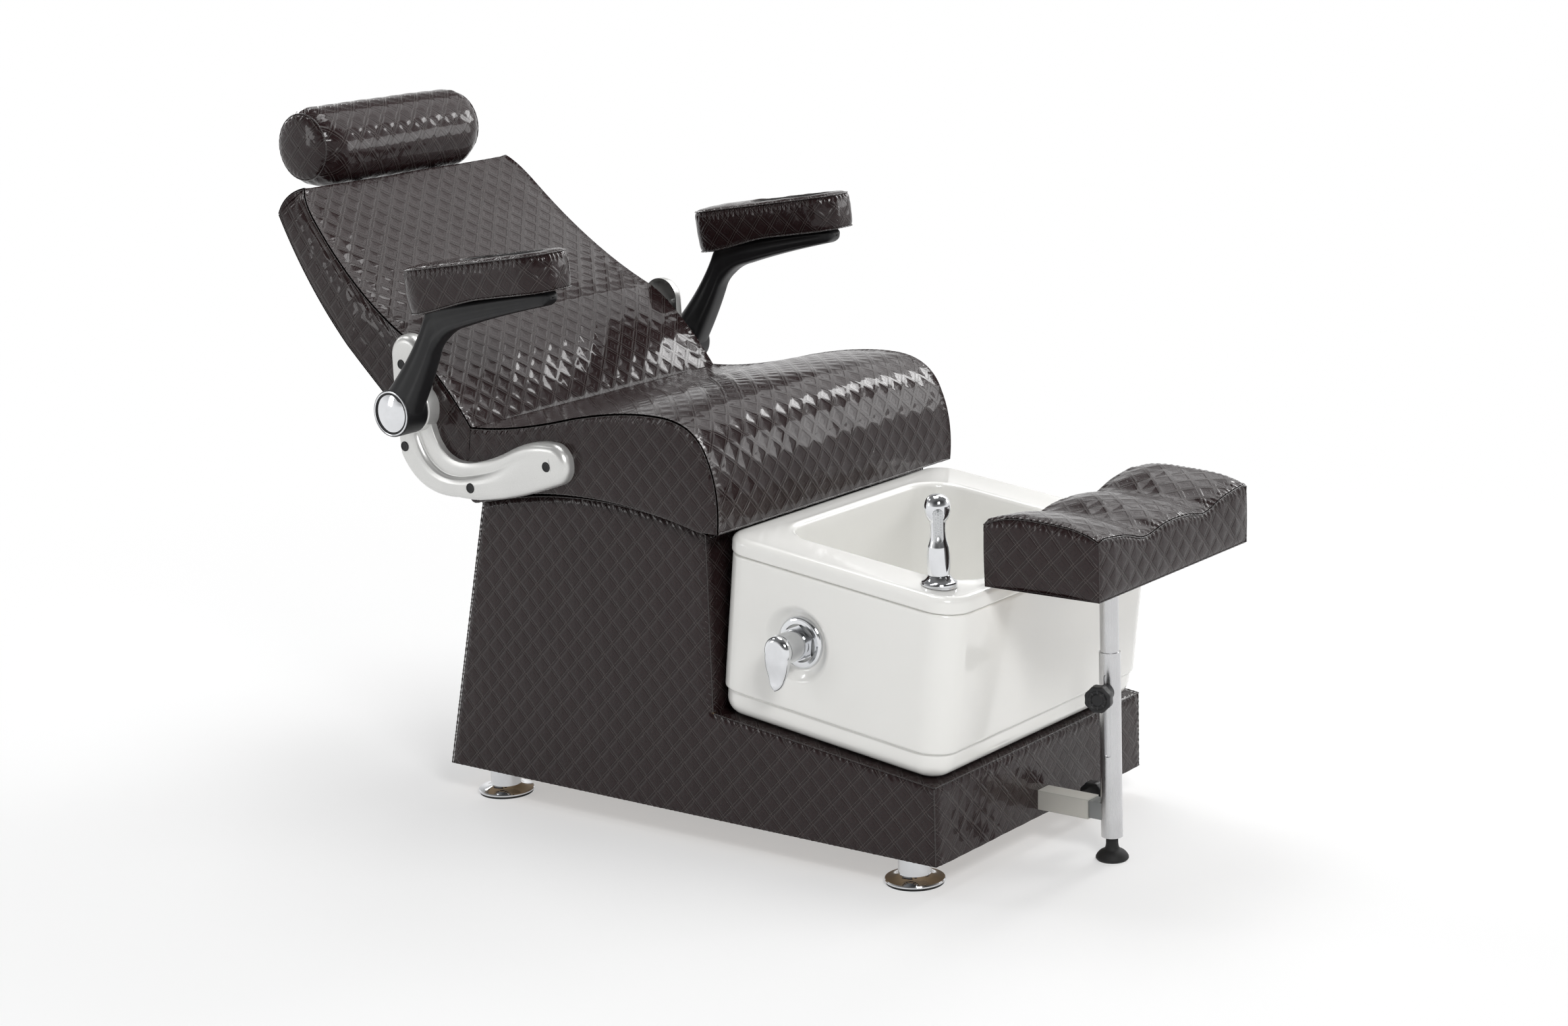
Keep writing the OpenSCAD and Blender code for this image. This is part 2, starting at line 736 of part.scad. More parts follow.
module mixer_ring() on_row() color([0.82, 0.83, 0.85]) at_mixer() rotate([0, -90, 0])
    rotate_extrude() polygon(concat(
        [[mixer_d / 2 + ring_t, dish_x]], [[ring_d / 2, dish_x]],
        bend([ring_d / 2, dish_x + 1], [ring_d / 2 - 1, dish_x + ring_t],
            [mixer_d / 2 + ring_t, dish_x + ring_t], 6),
        [[mixer_d / 2 + ring_t, dish_x + ring_t]]));

module mixer_body() on_row() color([0.8, 0.81, 0.83]) at_mixer() {
    difference() {
        union() {
            rod_x(-body_x, -mixer_inner_x + tail_in, mixer_d);
            translate([-dish_x - nut_t, 0, 0]) rotate([0, 90, 0])
                cylinder(d = mixer_d + 2 * ring_t - 1, h = nut_t, $fn = 6);
        }
        rod_x(-body_x - 1, -body_x + cartridge_in + 4, cartridge_d + 2 * run_fit);
    }
}

// Children at the lever's pivot: x out of the chair's middle, z square to the slope
module at_pivot() at_mixer() translate([-mixer_out_x + lever_t, 0, pivot_up]) children();

module mixer_head() on_row() color([0.82, 0.83, 0.85]) difference() {
    at_mixer() {
        rod_x(-head_x, -body_x - gap, mixer_d);
        rod_x(-body_x - gap - eps, -body_x + cartridge_in, cartridge_d);
    }
    at_pivot() translate([0, pivot_len / 2 + gap, 0]) rotate([90, 0, 0])
        cylinder(d = pivot_d + 2 * run_fit, h = pivot_len + 2 * gap);
}

module mixer_lever() on_row() color([0.85, 0.86, 0.88]) {
    difference() {
        at_mixer() translate([-mixer_out_x, 0, 0]) rotate([0, 90, 0]) union() {
            cylinder(d = mixer_d, h = lever_t);
            linear_extrude(paddle_t) polygon(concat(
                bend([0, -mixer_d / 2], [30, -mixer_d / 2], [40, -15], 6),
                bend([40, -15], [paddle_len - 12, -13], [paddle_len, 0], 6),
                bend([paddle_len, 0], [paddle_len - 12, 13], [40, 15], 6),
                bend([40, 15], [30, mixer_d / 2], [0, mixer_d / 2], 6),
                [[0, mixer_d / 2]]));
        }
        // Relief above the pivot, for the lever to tip into
        at_pivot() rotate([0, -lever_lift - 1, 0])
            translate([0, -mixer_d / 2, 0]) cube([lever_t, mixer_d, mixer_d]);
    }
    at_pivot() translate([0, pivot_len / 2, 0]) rotate([90, 0, 0])
        cylinder(d = pivot_d, h = pivot_len);
}

module mixer_tails() on_row() color([0.7, 0.71, 0.72]) difference() {
    on_deck() for (s = [-1, 1])
        translate([-mixer_inner_x, mixer_along + s * tail_pitch / 2, -tail_down])
            cylinder(d = tail_d, h = mixer_up + tail_down);
    at_mixer() rod_x(-body_x, 0, mixer_d);
}

// ---------------------------------------------------------------- hand shower

module at_shower() translate([-shower_x, shower_y, rim_z]) children();

// Everything above the basin's rim, from e below it
module above_rim(e) on_deck() translate([-half_base, -beyond / 2, basin_h - e])
    cube([2 * half_base, beyond, beyond]);

module shower_collar() on_row() color([0.82, 0.83, 0.85]) {
    intersection() {
        at_shower() difference() {
            rotate_extrude() polygon(concat(
                [[0, -10], [collar_d / 2, -10], [collar_d / 2, 3]],
                bend([collar_d / 2 - 1, 5], [stem_d / 2 + 8, 7], [stem_d / 2 + 4, collar_h], 8),
                [[stem_d / 2 + 4, collar_h], [0, collar_h]]));
            translate([0, 0, -stem_in]) cylinder(d = stem_d + 2 * run_fit, h = 2 * stem_in);
        }
        above_rim(0);
    }
}

// Cup nut that clamps the collar from under the rim; the hose passes its floor
module shower_gland() on_row() color([0.7, 0.71, 0.72]) difference() {
    at_shower() translate([0, 0, -gland_h]) difference() {
        cylinder(d = stem_d + 12, h = gland_h);
        translate([0, 0, gland_floor]) cylinder(d = stem_d + 2 * gap, h = gland_h);
        translate([0, 0, -1]) cylinder(d = hose_d, h = gland_h);
    }
    above_rim(acrylic_t);
}

handset_curve = concat(
    bend([stem_d / 2 + 3.5, 0], [stem_d / 2 + 6, 22], [stem_d / 2 + 3, 42], 6),
    bend([stem_d / 2 + 3, 42], [stem_d / 2 - 3.5, 60], [stem_d / 2, 78], 6),
    bend([stem_d / 2, 78], [stem_d / 2 + 8, 88], [stem_d / 2 + 6.5, 102], 6),
    bend([stem_d / 2 + 6.5, 102], [stem_d / 2 + 4, handset_h - collar_h - 0.5],
        [0, handset_h - collar_h - 0.5], 8));
face_len = 52;
face_w = 17;
face_up = 74;
face_turn = 38;

// Cutter of the spray face, in the side of the handset
module face_slot() rotate([0, 0, face_turn]) translate([-stem_d / 2 - 10, 0, face_up])
    rotate([0, 90, 0]) linear_extrude(7) stadium(face_len, face_w);

module handset_body() rotate_extrude() polygon(concat(
    [[0, 0]], handset_curve, [[0, handset_h - collar_h - 0.5]]));

module shower_handset() on_row() color([0.82, 0.83, 0.85]) at_shower() {
    translate([0, 0, collar_h + gap]) difference() {
        handset_body();
        face_slot();
    }
    translate([0, 0, collar_h + gap - stem_in]) cylinder(d = stem_d, h = stem_in + eps);
}

module shower_face() on_row() color([0.55, 0.56, 0.58]) at_shower()
    translate([0, 0, collar_h + gap]) intersection() {
        handset_body();
        face_slot();
    }

// ---------------------------------------------------------------- seat

seat_n = 24;

// Upper curve of the seat's side, from its front lower edge over the nose to the valley
seat_curve = concat(
    bend([seat_front_y, lip_z], [seat_front_y - 8, (lip_z + seat_top_z) / 2 - 18],
        [seat_front_y + 14, seat_top_z - 54], 7),
    bend([seat_front_y + 14, seat_top_z - 54], [seat_front_y + 34, seat_top_z - 2],
        [seat_nose_y, seat_top_z], 6),
    bend([seat_nose_y, seat_top_z], [seat_nose_y + 70, seat_top_z + 3],
        [seat_nose_y + 170, (2 * seat_top_z + valley_z) / 3 - 2], 5),
    bend([seat_nose_y + 170, (2 * seat_top_z + valley_z) / 3 - 2],
        [valley_y - 86, valley_z + 1], [valley_y, valley_z], 5),
    [[valley_y, valley_z]]);

// Underside of the seat's side, matched point for point to the upper curve
function seat_under(i) = let (
    t = i / (seat_n - 1),
    y = seat_front_y + 6 + (split_y - seat_front_y - 6) * pow(t, 1.5))
    y < riser_y ? [y, lip_z] : y < rear_top_y - 20 ? [y, seat_bottom(y)]
    : [y, seat_bottom(rear_top_y - 20) + (y - rear_top_y + 20) * 0.1];

function seat_ring(s) = let (x = s * half_seat, k = swell(s)) concat(
    [for (i = [0 : seat_n - 1]) let (p = seat_curve[i], h = hump(i / (seat_n - 1)) * k)
        [x, p[0] - h * 5 * max(0, 1 - i / 10), p[1] + h * seat_crown]],
    [for (i = [seat_n - 1 : -1 : 0]) let (p = seat_under(i)) [x, p[0], p[1]]]);

// Outline of the bent pan, from e under it
module pan_outline(e) intersection() {
    difference() {
        arch(seat_r + pan_t);
        arch(seat_r - e);
    }
    translate([pan_front_y, base_lift]) square([pan_rear_y - pan_front_y, seat_top_z]);
}

module seat_pan() on_row() color([0.78, 0.62, 0.42])
    across(-pan_w / 2, pan_w / 2) pan_outline(0);

module seat_cushion() on_row() color([0.26, 0.22, 0.21]) difference() {
    loft([for (s = stations) seat_ring(s)]);
    across(-pan_w / 2, pan_w / 2) pan_outline(pan_t);
    bolt_holes();
}

// ---------------------------------------------------------------- back

back_n_pts = 26;
back_face_pts = 22;

// Front curve of the back, from the valley to its top edge
back_front = concat(
    bend([valley_y + split_gap, valley_z], [valley_y + 57, valley_z + 77],
        [valley_y + 127, valley_z + 128], 8),
    bend([valley_y + 127, valley_z + 128],
        [valley_y + 0.68 * back_run, valley_z + 0.565 * (back_top_z - valley_z)],
        back_top, 13),
    bend(back_top, (back_top + back_rear_top) / 2 + top_up * 2 * back_top_round,
        back_rear_top, 5));

// Rear curve of the back, from the split up to its top edge
back_low = [split_y + split_gap, split_z];
knee_ahead = 175;
knee_below = 194;
back_knee = [back_rear_top[0] - knee_ahead, back_rear_top[1] - knee_below];
back_rear = concat(
    bend(back_low, (back_low + back_knee) / 2 + [4, -6], back_knee, 12),
    bend(back_knee, back_rear_top - [76, 109], back_rear_top, 13),
    [back_rear_top]);

// Half the back's width at height z
function back_half(z) = z < taper_z ? half_seat : z > back_top_z ? back_top_w / 2
    : half_seat - (half_seat - back_top_w / 2) * (z - taper_z) / (back_top_z - taper_z);

function back_ring(s) = let (k = swell(s)) concat(
    [for (i = [0 : back_n_pts - 1]) let (
        p = back_front[i] + back_n * hump(min(1, i / (back_face_pts - 1))) * k * back_crown)
        [s * back_half(back_front[i][1]), p[0], p[1]]],
    [for (i = [back_n_pts - 1 : -1 : 0]) let (p = back_rear[i])
        [s * back_half(p[1]), p[0], p[1]]]);

// Local frame of the headrest rods: z runs along them, out of the back
module at_rods() translate([0, rod_in[0], rod_in[1]]) rotate([-top_lean, 0, 0]) children();

module rod_pair(d, z0, z1) at_rods() for (s = [-1, 1])
    translate([s * rod_pitch / 2, 0, z0]) cylinder(d = d, h = z1 - z0);

module back_board_solid() at_rods()
    translate([-back_top_w / 2 + board_side_in, board_behind, -board_from - board_len])
        cube([back_top_w - 2 * board_side_in, back_board_t, board_len]);

module back_board() on_row() color([0.78, 0.62, 0.42]) difference() {
    back_board_solid();
    rod_pair(rod_d + rod_clear, -rod_depth - rod_clear, 0);
}

module back_cushion() on_row() color([0.26, 0.22, 0.21]) difference() {
    loft([for (s = stations) back_ring(s)]);
    back_board_solid();
    rod_pair(guide_d, -guide_len, rod_reach);
    rod_pair(rod_d + rod_clear, -rod_depth - rod_clear, -guide_len + eps);
    bolt_holes();
}

// ---------------------------------------------------------------- headrest

module headrest_guides() on_row() color([0.08, 0.08, 0.08]) difference() {
    rod_pair(guide_d, -guide_len, back_top_round + guide_rim);
    rod_pair(rod_d + 2 * run_fit, -guide_len - 1, back_top_round + 2 * guide_rim);
}

module headrest_rods() on_row() color([0.75, 0.76, 0.78]) rod_pair(rod_d, -rod_depth, rod_reach);

module headrest_core() on_row() color([0.7, 0.53, 0.34]) difference() {
    translate([0, core_c[0], core_c[1]]) rod_x(-core_half, core_half, roll_core_d);
    rod_pair(rod_d, -rod_depth, rod_reach);
}

module headrest_roll() on_row() color([0.26, 0.22, 0.21]) difference() {
    translate([0, roll_c[0], roll_c[1]]) rotate([0, 90, 0]) rotate_extrude() polygon(concat(
        [[0, -roll_len / 2 - roll_dome]],
        [for (i = [1 : 5]) let (a = i * 15)
            [roll_r * 0.97 * sin(a), -roll_len / 2 - roll_dome * cos(a)]],
        [[roll_r * 0.97, -roll_len / 2], [roll_r, -roll_len / 2 + 12],
            [roll_r, roll_len / 2 - 12], [roll_r * 0.97, roll_len / 2]],
        [for (i = [5 : -1 : 1]) let (a = i * 15)
            [roll_r * 0.97 * sin(a), roll_len / 2 + roll_dome * cos(a)]],
        [[0, roll_len / 2 + roll_dome]]));
    translate([0, core_c[0], core_c[1]]) rod_x(-core_half, core_half, roll_core_d);
    rod_pair(rod_d, -rod_depth, rod_reach);
}

// ---------------------------------------------------------------- brackets

// Bolts of both sides, from depth a inside the seat's side face to b outside it. Behind the
// bracket's corner there is no cushion, so the third bolt ends at the bracket's inner face
module bolt_set(d, a, b) for (left = [false, true], p = bolt_points) hand(left)
    translate([0, p[0], p[1]])
        rod_x(-half_seat - b, -half_seat + (p == bolt_points[2] ? min(a, 0) : a), d);

module bolt_holes() bolt_set(bolt_d, bolt_in, 1);

// The brackets' upright leg behind and above the hub, and their toe under the seat
leg_behind = 46;
leg_up = 80;
toe_ahead = 227;
toe_up = 47.5;
toe_r = 33;
leg_y1 = hub_y + leg_behind;
leg_y0 = leg_y1 - bracket_leg_w;
toe_y = split_y - toe_ahead;
toe_z = seat_bottom(toe_y) + toe_up;

// J-shaped outline of a bracket
module bracket_outline() {
    translate([hub_y, hub_z]) circle(d = hub_d);
    translate([leg_y0 + bracket_leg_w / 2, hub_z + leg_up]) circle(d = bracket_leg_w);
    translate([toe_y + toe_r, toe_z]) circle(r = toe_r);
    polygon(concat(
        [[leg_y0, hub_z + leg_up], [leg_y1, hub_z + leg_up]],
        bend([leg_y1, hub_z + 40], [leg_y1 + 2, hub_z - 40], [leg_y1 - 10, hub_z - 78], 6),
        bend([leg_y1 - 10, hub_z - 78], [leg_y1 - 44, hub_z - 143],
            [split_y + 6, seat_bottom(split_y - 60) - 7], 8),
        bend([split_y + 6, seat_bottom(split_y - 60) - 7],
            [split_y - 77, seat_bottom(split_y - 76) - 16.4],
            [toe_y + toe_r - 10.4, toe_z - 31.3], 8),
        [[toe_y + toe_r - 10.4, toe_z + 31.3]],
        bend([toe_y + toe_r + 2, toe_z + toe_r], [toe_y + toe_r + 44, toe_z + 35],
            [split_y - 110, hub_z - 48.5], 6),
        bend([split_y - 110, hub_z - 48.5], [split_y - 72, hub_z - 67.5],
            [split_y - 34, hub_z - 76.5], 5),
        bend([split_y - 34, hub_z - 76.5], [split_y + 53, hub_z - 95], [leg_y0, hub_z - 4], 8)
    ));
}

module bracket(left) on_row() color([0.78, 0.78, 0.77]) hand(left) difference() {
    union() {
        across(-half_seat - bracket_t, -half_seat) bracket_outline();
        translate([0, hub_y, hub_z]) rod_x(-boss_x, -half_seat, hub_d);
    }
    translate([0, hub_y, hub_z]) rod_x(-boss_x - 1, -half_seat + 1, axle_d);
    for (p = bolt_points) translate([0, p[0], p[1]]) {
        rod_x(-half_seat - bracket_t - 1, -half_seat + 1, bolt_d);
        rod_x(-half_seat - bracket_t - 1, -half_seat - bracket_t + cap_sink, bolt_cap_d);
    }
}

module bracket_bolts() on_row() color([0.6, 0.6, 0.62]) {
    bolt_set(bolt_d, bolt_in, bracket_t - cap_sink);
    bolt_set(bolt_cap_d - 3, -(bracket_t - cap_sink), bracket_t - cap_t);
}

module bracket_caps() on_row() color([0.04, 0.04, 0.04])
    bolt_set(bolt_cap_d, -(bracket_t - cap_t), bracket_t + gap);

// ---------------------------------------------------------------- armrests

module arm_axles() on_row() color([0.7, 0.7, 0.72]) for (left = [false, true]) hand(left)
    translate([0, hub_y, hub_z]) {
        rod_x(-arm_x1 + axle_sink - gap, -half_seat, axle_d);
        rod_x(-arm_x1 + axle_sink - gap - axle_head_t, -arm_x1 + axle_sink - gap, axle_head_d);
    }

// Side outline of an arm, measured from its hub
tip_y = pad_y0 - pad_len + 27;
function arm_points() = concat(
    bend([14, hub_r - 4], [-43, hub_r + 52], [-76, pad_line(-84) - 15], 8),
    [[-84, pad_line(-84)], [tip_y, pad_line(tip_y)]],
    bend([tip_y - 4, pad_line(tip_y) - 5], [tip_y - 8, pad_line(tip_y) - 16],
        [tip_y + 5, pad_line(tip_y) - 23], 4),
    bend([tip_y + 5, pad_line(tip_y) - 23], [tip_y + 110, pad_line(tip_y) - 46],
        [-150, pad_line(-150) - 42], 6),
    bend([-150, pad_line(-150) - 42], [-104, pad_line(-104) - 51],
        [-88, pad_line(-88) - 78], 6),
    bend([-88, pad_line(-88) - 78], [-72, hub_r + 23], [-32, -10], 8));

module arm(left) on_row() color([0.07, 0.07, 0.075]) hand(left)
    translate([0, hub_y, hub_z]) difference() {
        union() {
            rod_x(-arm_x1, -arm_x0, hub_d);
            across(-arm_x1, -arm_x0 - neck_in) polygon(arm_points());
        }
        rod_x(-arm_x1 - 1, -arm_x0 + 1, axle_d + 2 * run_fit);
        rod_x(-arm_x1 - 1, -arm_x1 + axle_sink, axle_head_d + 2);
    }

module hub_cap(left) on_row() color([0.85, 0.86, 0.88]) hand(left)
    translate([0, hub_y, hub_z]) rotate([0, -90, 0]) rotate_extrude() polygon(concat(
        [[0, arm_x1], [hub_r - 2, arm_x1]],
        bend([hub_r - 2, arm_x1 + 1.5], [hub_r / 2, arm_x1 + hub_cap_t],
            [0, arm_x1 + hub_cap_t], 8),
        [[0, arm_x1 + hub_cap_t]]));

// Local frame of the arm pad: x across, y along it from its rear end to its front, z up
module at_pad() translate([-pad_x, hub_y + pad_y0, hub_z + pad_z0]) rotate([0, 0, 180])
    rotate([pad_pitch, 0, 0]) children();

pad_n = 11;
pad_stations = [-1, -0.985, -0.94, -0.86, -0.74, -0.4, 0, 0.4, 0.74, 0.86, 0.94, 0.985, 1];
pad_round = 46;
pad_waist = 2.5;

// Half the pad's width at station s: round at its ends and drawn in between them
function pad_half(s) = let (d = max(0, pad_round - (1 - abs(s)) * pad_len / 2))
    pad_w / 2 - pad_waist * (1 - s * s) - pad_round * 0.8
    + 0.8 * sqrt(max(0, pad_round * pad_round - d * d));

function pad_ring(s) = let (h = pad_half(s), y = (1 + s) * pad_len / 2) concat(
    [for (i = [0 : pad_n - 1]) let (u = -1 + 2 * i / (pad_n - 1))
        [u * h, y, pad_t + pad_crown * (1 - pow(abs(u), 2.5)) * (1 - pow(abs(s), 6))]],
    [for (i = [pad_n - 1 : -1 : 0]) let (u = -1 + 2 * i / (pad_n - 1)) [u * h * 0.96, y, 0]]);

tray_y = pad_len * 0.66;
tray_wall = 3;
tray_top = pad_t + pad_crown - tray_wall;

module arm_pad(left) on_row() color([0.26, 0.22, 0.21]) hand(left) at_pad() difference() {
    loft([for (s = pad_stations) pad_ring(s)]);
    translate([0, tray_y, tray_top - tray_depth]) rotate([0, 0, 90])
        linear_extrude(tray_depth + 2 * pad_crown) stadium(tray_len, tray_w);
}

module arm_tray(left) on_row() color([0.05, 0.05, 0.05]) hand(left) at_pad() difference() {
    translate([0, tray_y, tray_top - tray_depth]) rotate([0, 0, 90])
        linear_extrude(tray_depth) stadium(tray_len, tray_w);
    translate([0, tray_y, tray_top - tray_depth + tray_wall]) rotate([0, 0, 90])
        linear_extrude(tray_depth) stadium(tray_len - 2 * tray_wall, tray_w - 2 * tray_wall);
}

// ---------------------------------------------------------------- legrest

leg_n = 21;
// Share by which the legrest's sides draw in between their corners
leg_waist = 0.025;
leg_stations = [-1, -0.95, -0.82, -0.5, 0, 0.5, 0.82, 0.95, 1];

// Height of the legrest's top seam at x, over its underside
function leg_top(x) = leg_side_h - leg_sag * (1 - pow(x / half_leg, 2))
    - channel_depth * exp(-pow((abs(x) - channel_x) / channel_w, 2));

function leg_ring(s) = let (y = leg_y + s * leg_depth / 2, k = 1 - leg_waist * (1 - s * s)) concat(
    [for (i = [0 : leg_n - 1]) let (x = half_leg * (2 * i / (leg_n - 1) - 1))
        [x * k, y, leg_bottom_z + leg_top(x) + leg_crown * (1 - pow(abs(s), 2.5))]],
    [for (i = [leg_n - 1 : -1 : 0]) let (x = half_leg * (2 * i / (leg_n - 1) - 1))
        [x * k, y, leg_bottom_z]]);

leg_board_in = 14;

module leg_board_solid(h) translate(
    [-half_leg + leg_board_in, leg_front_y + leg_board_in, leg_bottom_z - h + leg_board_t])
        cube([leg_w - 2 * leg_board_in, leg_depth - 2 * leg_board_in, h]);

module legrest_cushion() on_row() color([0.26, 0.22, 0.21]) difference() {
    loft([for (s = leg_stations) leg_ring(s)]);
    leg_board_solid(2 * leg_board_t);
}

module legrest_board() on_row() color([0.78, 0.62, 0.42]) leg_board_solid(leg_board_t);

module legrest_plate() on_row() color([0.6, 0.6, 0.62])
    translate([-leg_plate_w / 2, post_y - leg_plate_len / 2, leg_bottom_z - leg_plate_t])
        cube([leg_plate_w, leg_plate_len, leg_plate_t]);

// ---------------------------------------------------------------- post

module at_post() translate([0, post_y, 0]) children();

// Local frame of the post's clamp: x runs out through the slot
module at_clamp() translate([0, post_y, knob_z]) rotate([0, 0, 180 + slot_turn]) children();

module post_inner() on_row() color([0.8, 0.81, 0.83]) difference() {
    union() {
        at_post() translate([0, 0, inner_bottom_z]) difference() {
            cylinder(d = inner_d, h = leg_bottom_z - leg_plate_t - inner_bottom_z);
            translate([0, 0, -1]) cylinder(d = inner_d - 2 * tube_t, h = leg_bottom_z);
        }
        at_clamp() intersection() {
            translate([0, 0, -lug]) cylinder(d = inner_d - 2 * tube_t, h = 2 * lug);
            translate([2, -lug, -lug]) cube([inner_d, 2 * lug, 2 * lug]);
        }
    }
    at_clamp() rod_x(1, inner_d, screw_d + 2 * run_fit);
}

module post_outer() on_row() color([0.8, 0.81, 0.83]) difference() {
    at_post() translate([0, 0, outer_bottom_z]) difference() {
        cylinder(d = outer_d, h = outer_top_z - outer_bottom_z);
        translate([0, 0, plug_t]) cylinder(d = outer_bore_d, h = outer_top_z);
        translate([0, 0, -1]) cylinder(d = stud_d + 2 * run_fit, h = 30);
    }
    translate([0, post_y, 0]) rotate([0, 0, 180 + slot_turn])
        translate([0, 0, (slot_top_z + slot_bottom_z) / 2]) rotate([0, 90, 0])
            linear_extrude(outer_d) stadium(slot_top_z - slot_bottom_z, slot_w);
}

module post_foot() on_row() color([0.05, 0.05, 0.05]) at_post() {
    rotate_extrude() polygon(concat(
        [[0, 0], [level_d / 2 - 2, 0], [level_d / 2, 2.5]],
        bend([level_d / 2, 5], [level_d / 2 - 4, 13], [14, 15], 6),
        bend([14, 15], [9, 16], [9, 29], 5),
        [[9, outer_bottom_z - gap], [0, outer_bottom_z - gap]]));
    translate([0, 0, outer_bottom_z - 1]) cylinder(d = stud_d, h = plug_t - 1);
}

module slide_bar() on_row() color([0.62, 0.62, 0.6]) difference() {
    translate([-bar_w / 2, post_y, sleeve_z - bar_w / 2])
        cube([bar_w, post_ahead + bar_in, bar_w]);
    at_post() translate([0, 0, outer_bottom_z]) cylinder(d = outer_d, h = outer_top_z);
}

module sleeve_tube() on_row() color([0.72, 0.71, 0.67]) difference() {
    translate([-sleeve_w / 2, -sleeve_out, sleeve_z - sleeve_w / 2])
        cube([sleeve_w, sleeve_out + sleeve_in, sleeve_w]);
    translate([-sleeve_w / 2 + sleeve_t, -sleeve_out - 1, sleeve_z - sleeve_w / 2 + sleeve_t])
        cube([sleeve_w - 2 * sleeve_t, sleeve_out + sleeve_in + 2, sleeve_w - 2 * sleeve_t]);
    translate([0, reach_knob_y, sleeve_z]) rod_x(0, sleeve_w, screw_d + 2 * run_fit);
}

// Octagonal clamp knob: its screw runs from x = a to its hub, which starts at x = b
module knob(a, b) {
    rod_x(a, b + eps, screw_d);
    rod_x(b, b + knob_hub_t, knob_hub_d);
    translate([b + knob_hub_t - eps, 0, 0]) rotate([0, 90, 0]) difference() {
        rotate([0, 0, 22.5]) cylinder(d = knob_d, h = knob_t, $fn = 8);
        translate([0, 0, knob_t - 2]) difference() {
            cylinder(d = knob_d * 0.66, h = 3);
            translate([0, 0, -1]) cylinder(d = knob_d * 0.42, h = 5);
        }
    }
}

module height_knob() on_row() color([0.06, 0.06, 0.06]) at_clamp() knob(3, outer_d / 2 + gap);

module reach_knob() on_row() color([0.06, 0.06, 0.06])
    translate([0, reach_knob_y, sleeve_z]) knob(bar_w / 2 + gap, sleeve_w / 2 + gap);

// ---------------------------------------------------------------- nodes

base_skin();
side_board(false);  // side_board_right
side_board(true);  // side_board_left
rear_board();
riser_board();
deck_board();
front_board();
floor_board();
seat_rails();
foot(false, foot_ys[0]);  // foot_front_right
foot(true, foot_ys[0]);  // foot_front_left
foot(false, foot_ys[1]);  // foot_rear_right
foot(true, foot_ys[1]);  // foot_rear_left
foot_pads();
basin_skirt();
basin_liner();
drain_flange();
drain_plug();
waste_tube();
mixer_ring();
mixer_body();
mixer_head();
mixer_lever();
mixer_tails();
shower_collar();
shower_handset();
shower_face();
shower_gland();
seat_pan();
seat_cushion();
back_board();
back_cushion();
headrest_guides();
headrest_rods();
headrest_core();
headrest_roll();
bracket(false);  // bracket_right
bracket(true);  // bracket_left
bracket_bolts();
bracket_caps();
arm_axles();
arm(false);  // arm_right
arm(true);  // arm_left
hub_cap(false);  // hub_cap_right
hub_cap(true);  // hub_cap_left
arm_pad(false);  // arm_pad_right
arm_pad(true);  // arm_pad_left
arm_tray(false);  // arm_tray_right
arm_tray(true);  // arm_tray_left
legrest_cushion();
legrest_board();
legrest_plate();
post_inner();
post_outer();
post_foot();
slide_bar();
sleeve_tube();
height_knob();
reach_knob();
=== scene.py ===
import bpy
import json
import math
import numpy as np
from mathutils import Matrix, Vector


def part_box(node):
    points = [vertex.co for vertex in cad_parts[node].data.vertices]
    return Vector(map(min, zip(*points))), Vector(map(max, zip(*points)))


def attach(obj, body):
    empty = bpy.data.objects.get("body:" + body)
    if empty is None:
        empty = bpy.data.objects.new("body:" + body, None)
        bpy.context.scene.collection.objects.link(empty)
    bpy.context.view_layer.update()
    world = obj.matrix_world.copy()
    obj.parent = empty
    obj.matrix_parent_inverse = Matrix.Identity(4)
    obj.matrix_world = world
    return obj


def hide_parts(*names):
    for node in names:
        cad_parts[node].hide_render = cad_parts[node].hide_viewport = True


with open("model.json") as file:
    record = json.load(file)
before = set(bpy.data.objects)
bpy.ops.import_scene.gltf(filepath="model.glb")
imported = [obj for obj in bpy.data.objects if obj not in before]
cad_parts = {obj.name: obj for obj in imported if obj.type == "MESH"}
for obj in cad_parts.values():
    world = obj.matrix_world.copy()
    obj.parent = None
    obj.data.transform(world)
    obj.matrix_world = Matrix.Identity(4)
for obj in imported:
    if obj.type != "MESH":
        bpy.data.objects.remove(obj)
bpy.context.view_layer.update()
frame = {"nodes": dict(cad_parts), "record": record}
nodes = frame["nodes"]
MID_Y = 566.6895
SQ2 = math.sqrt(0.5)
PITCH = 26.3              # distance between the vinyl's embossed lines
GRID = PITCH / SQ2 / 14   # mesh step that puts the lines on vertices


def rad(d):
    return d * math.pi / 180


# ---------------------------------------------------------------- camera
def camera():
    yaw, pitch, roll = 0.90671, 0.22801, -0.037298
    f = Vector((math.sin(yaw) * math.cos(pitch), math.cos(yaw) * math.cos(pitch), -math.sin(pitch)))
    r = Vector((math.cos(yaw), -math.sin(yaw), 0))
    u = r.cross(f)
    right = math.cos(roll) * r + math.sin(roll) * u
    up = -math.sin(roll) * r + math.cos(roll) * u
    cam = bpy.data.cameras.new("camera")
    ob = bpy.data.objects.new("camera", cam)
    bpy.context.scene.collection.objects.link(ob)
    m = Matrix((right, up, -f)).transposed().to_4x4()
    m.translation = Vector((-3.69976, -2.42309 - MID_Y / 1000, 1.54938))
    ob.matrix_world = m
    cam.sensor_fit = "HORIZONTAL"
    cam.sensor_width = 36
    cam.lens = 4686.55 / 2380 * 36
    cam.clip_end = 50
    bpy.context.scene.camera = ob


camera()


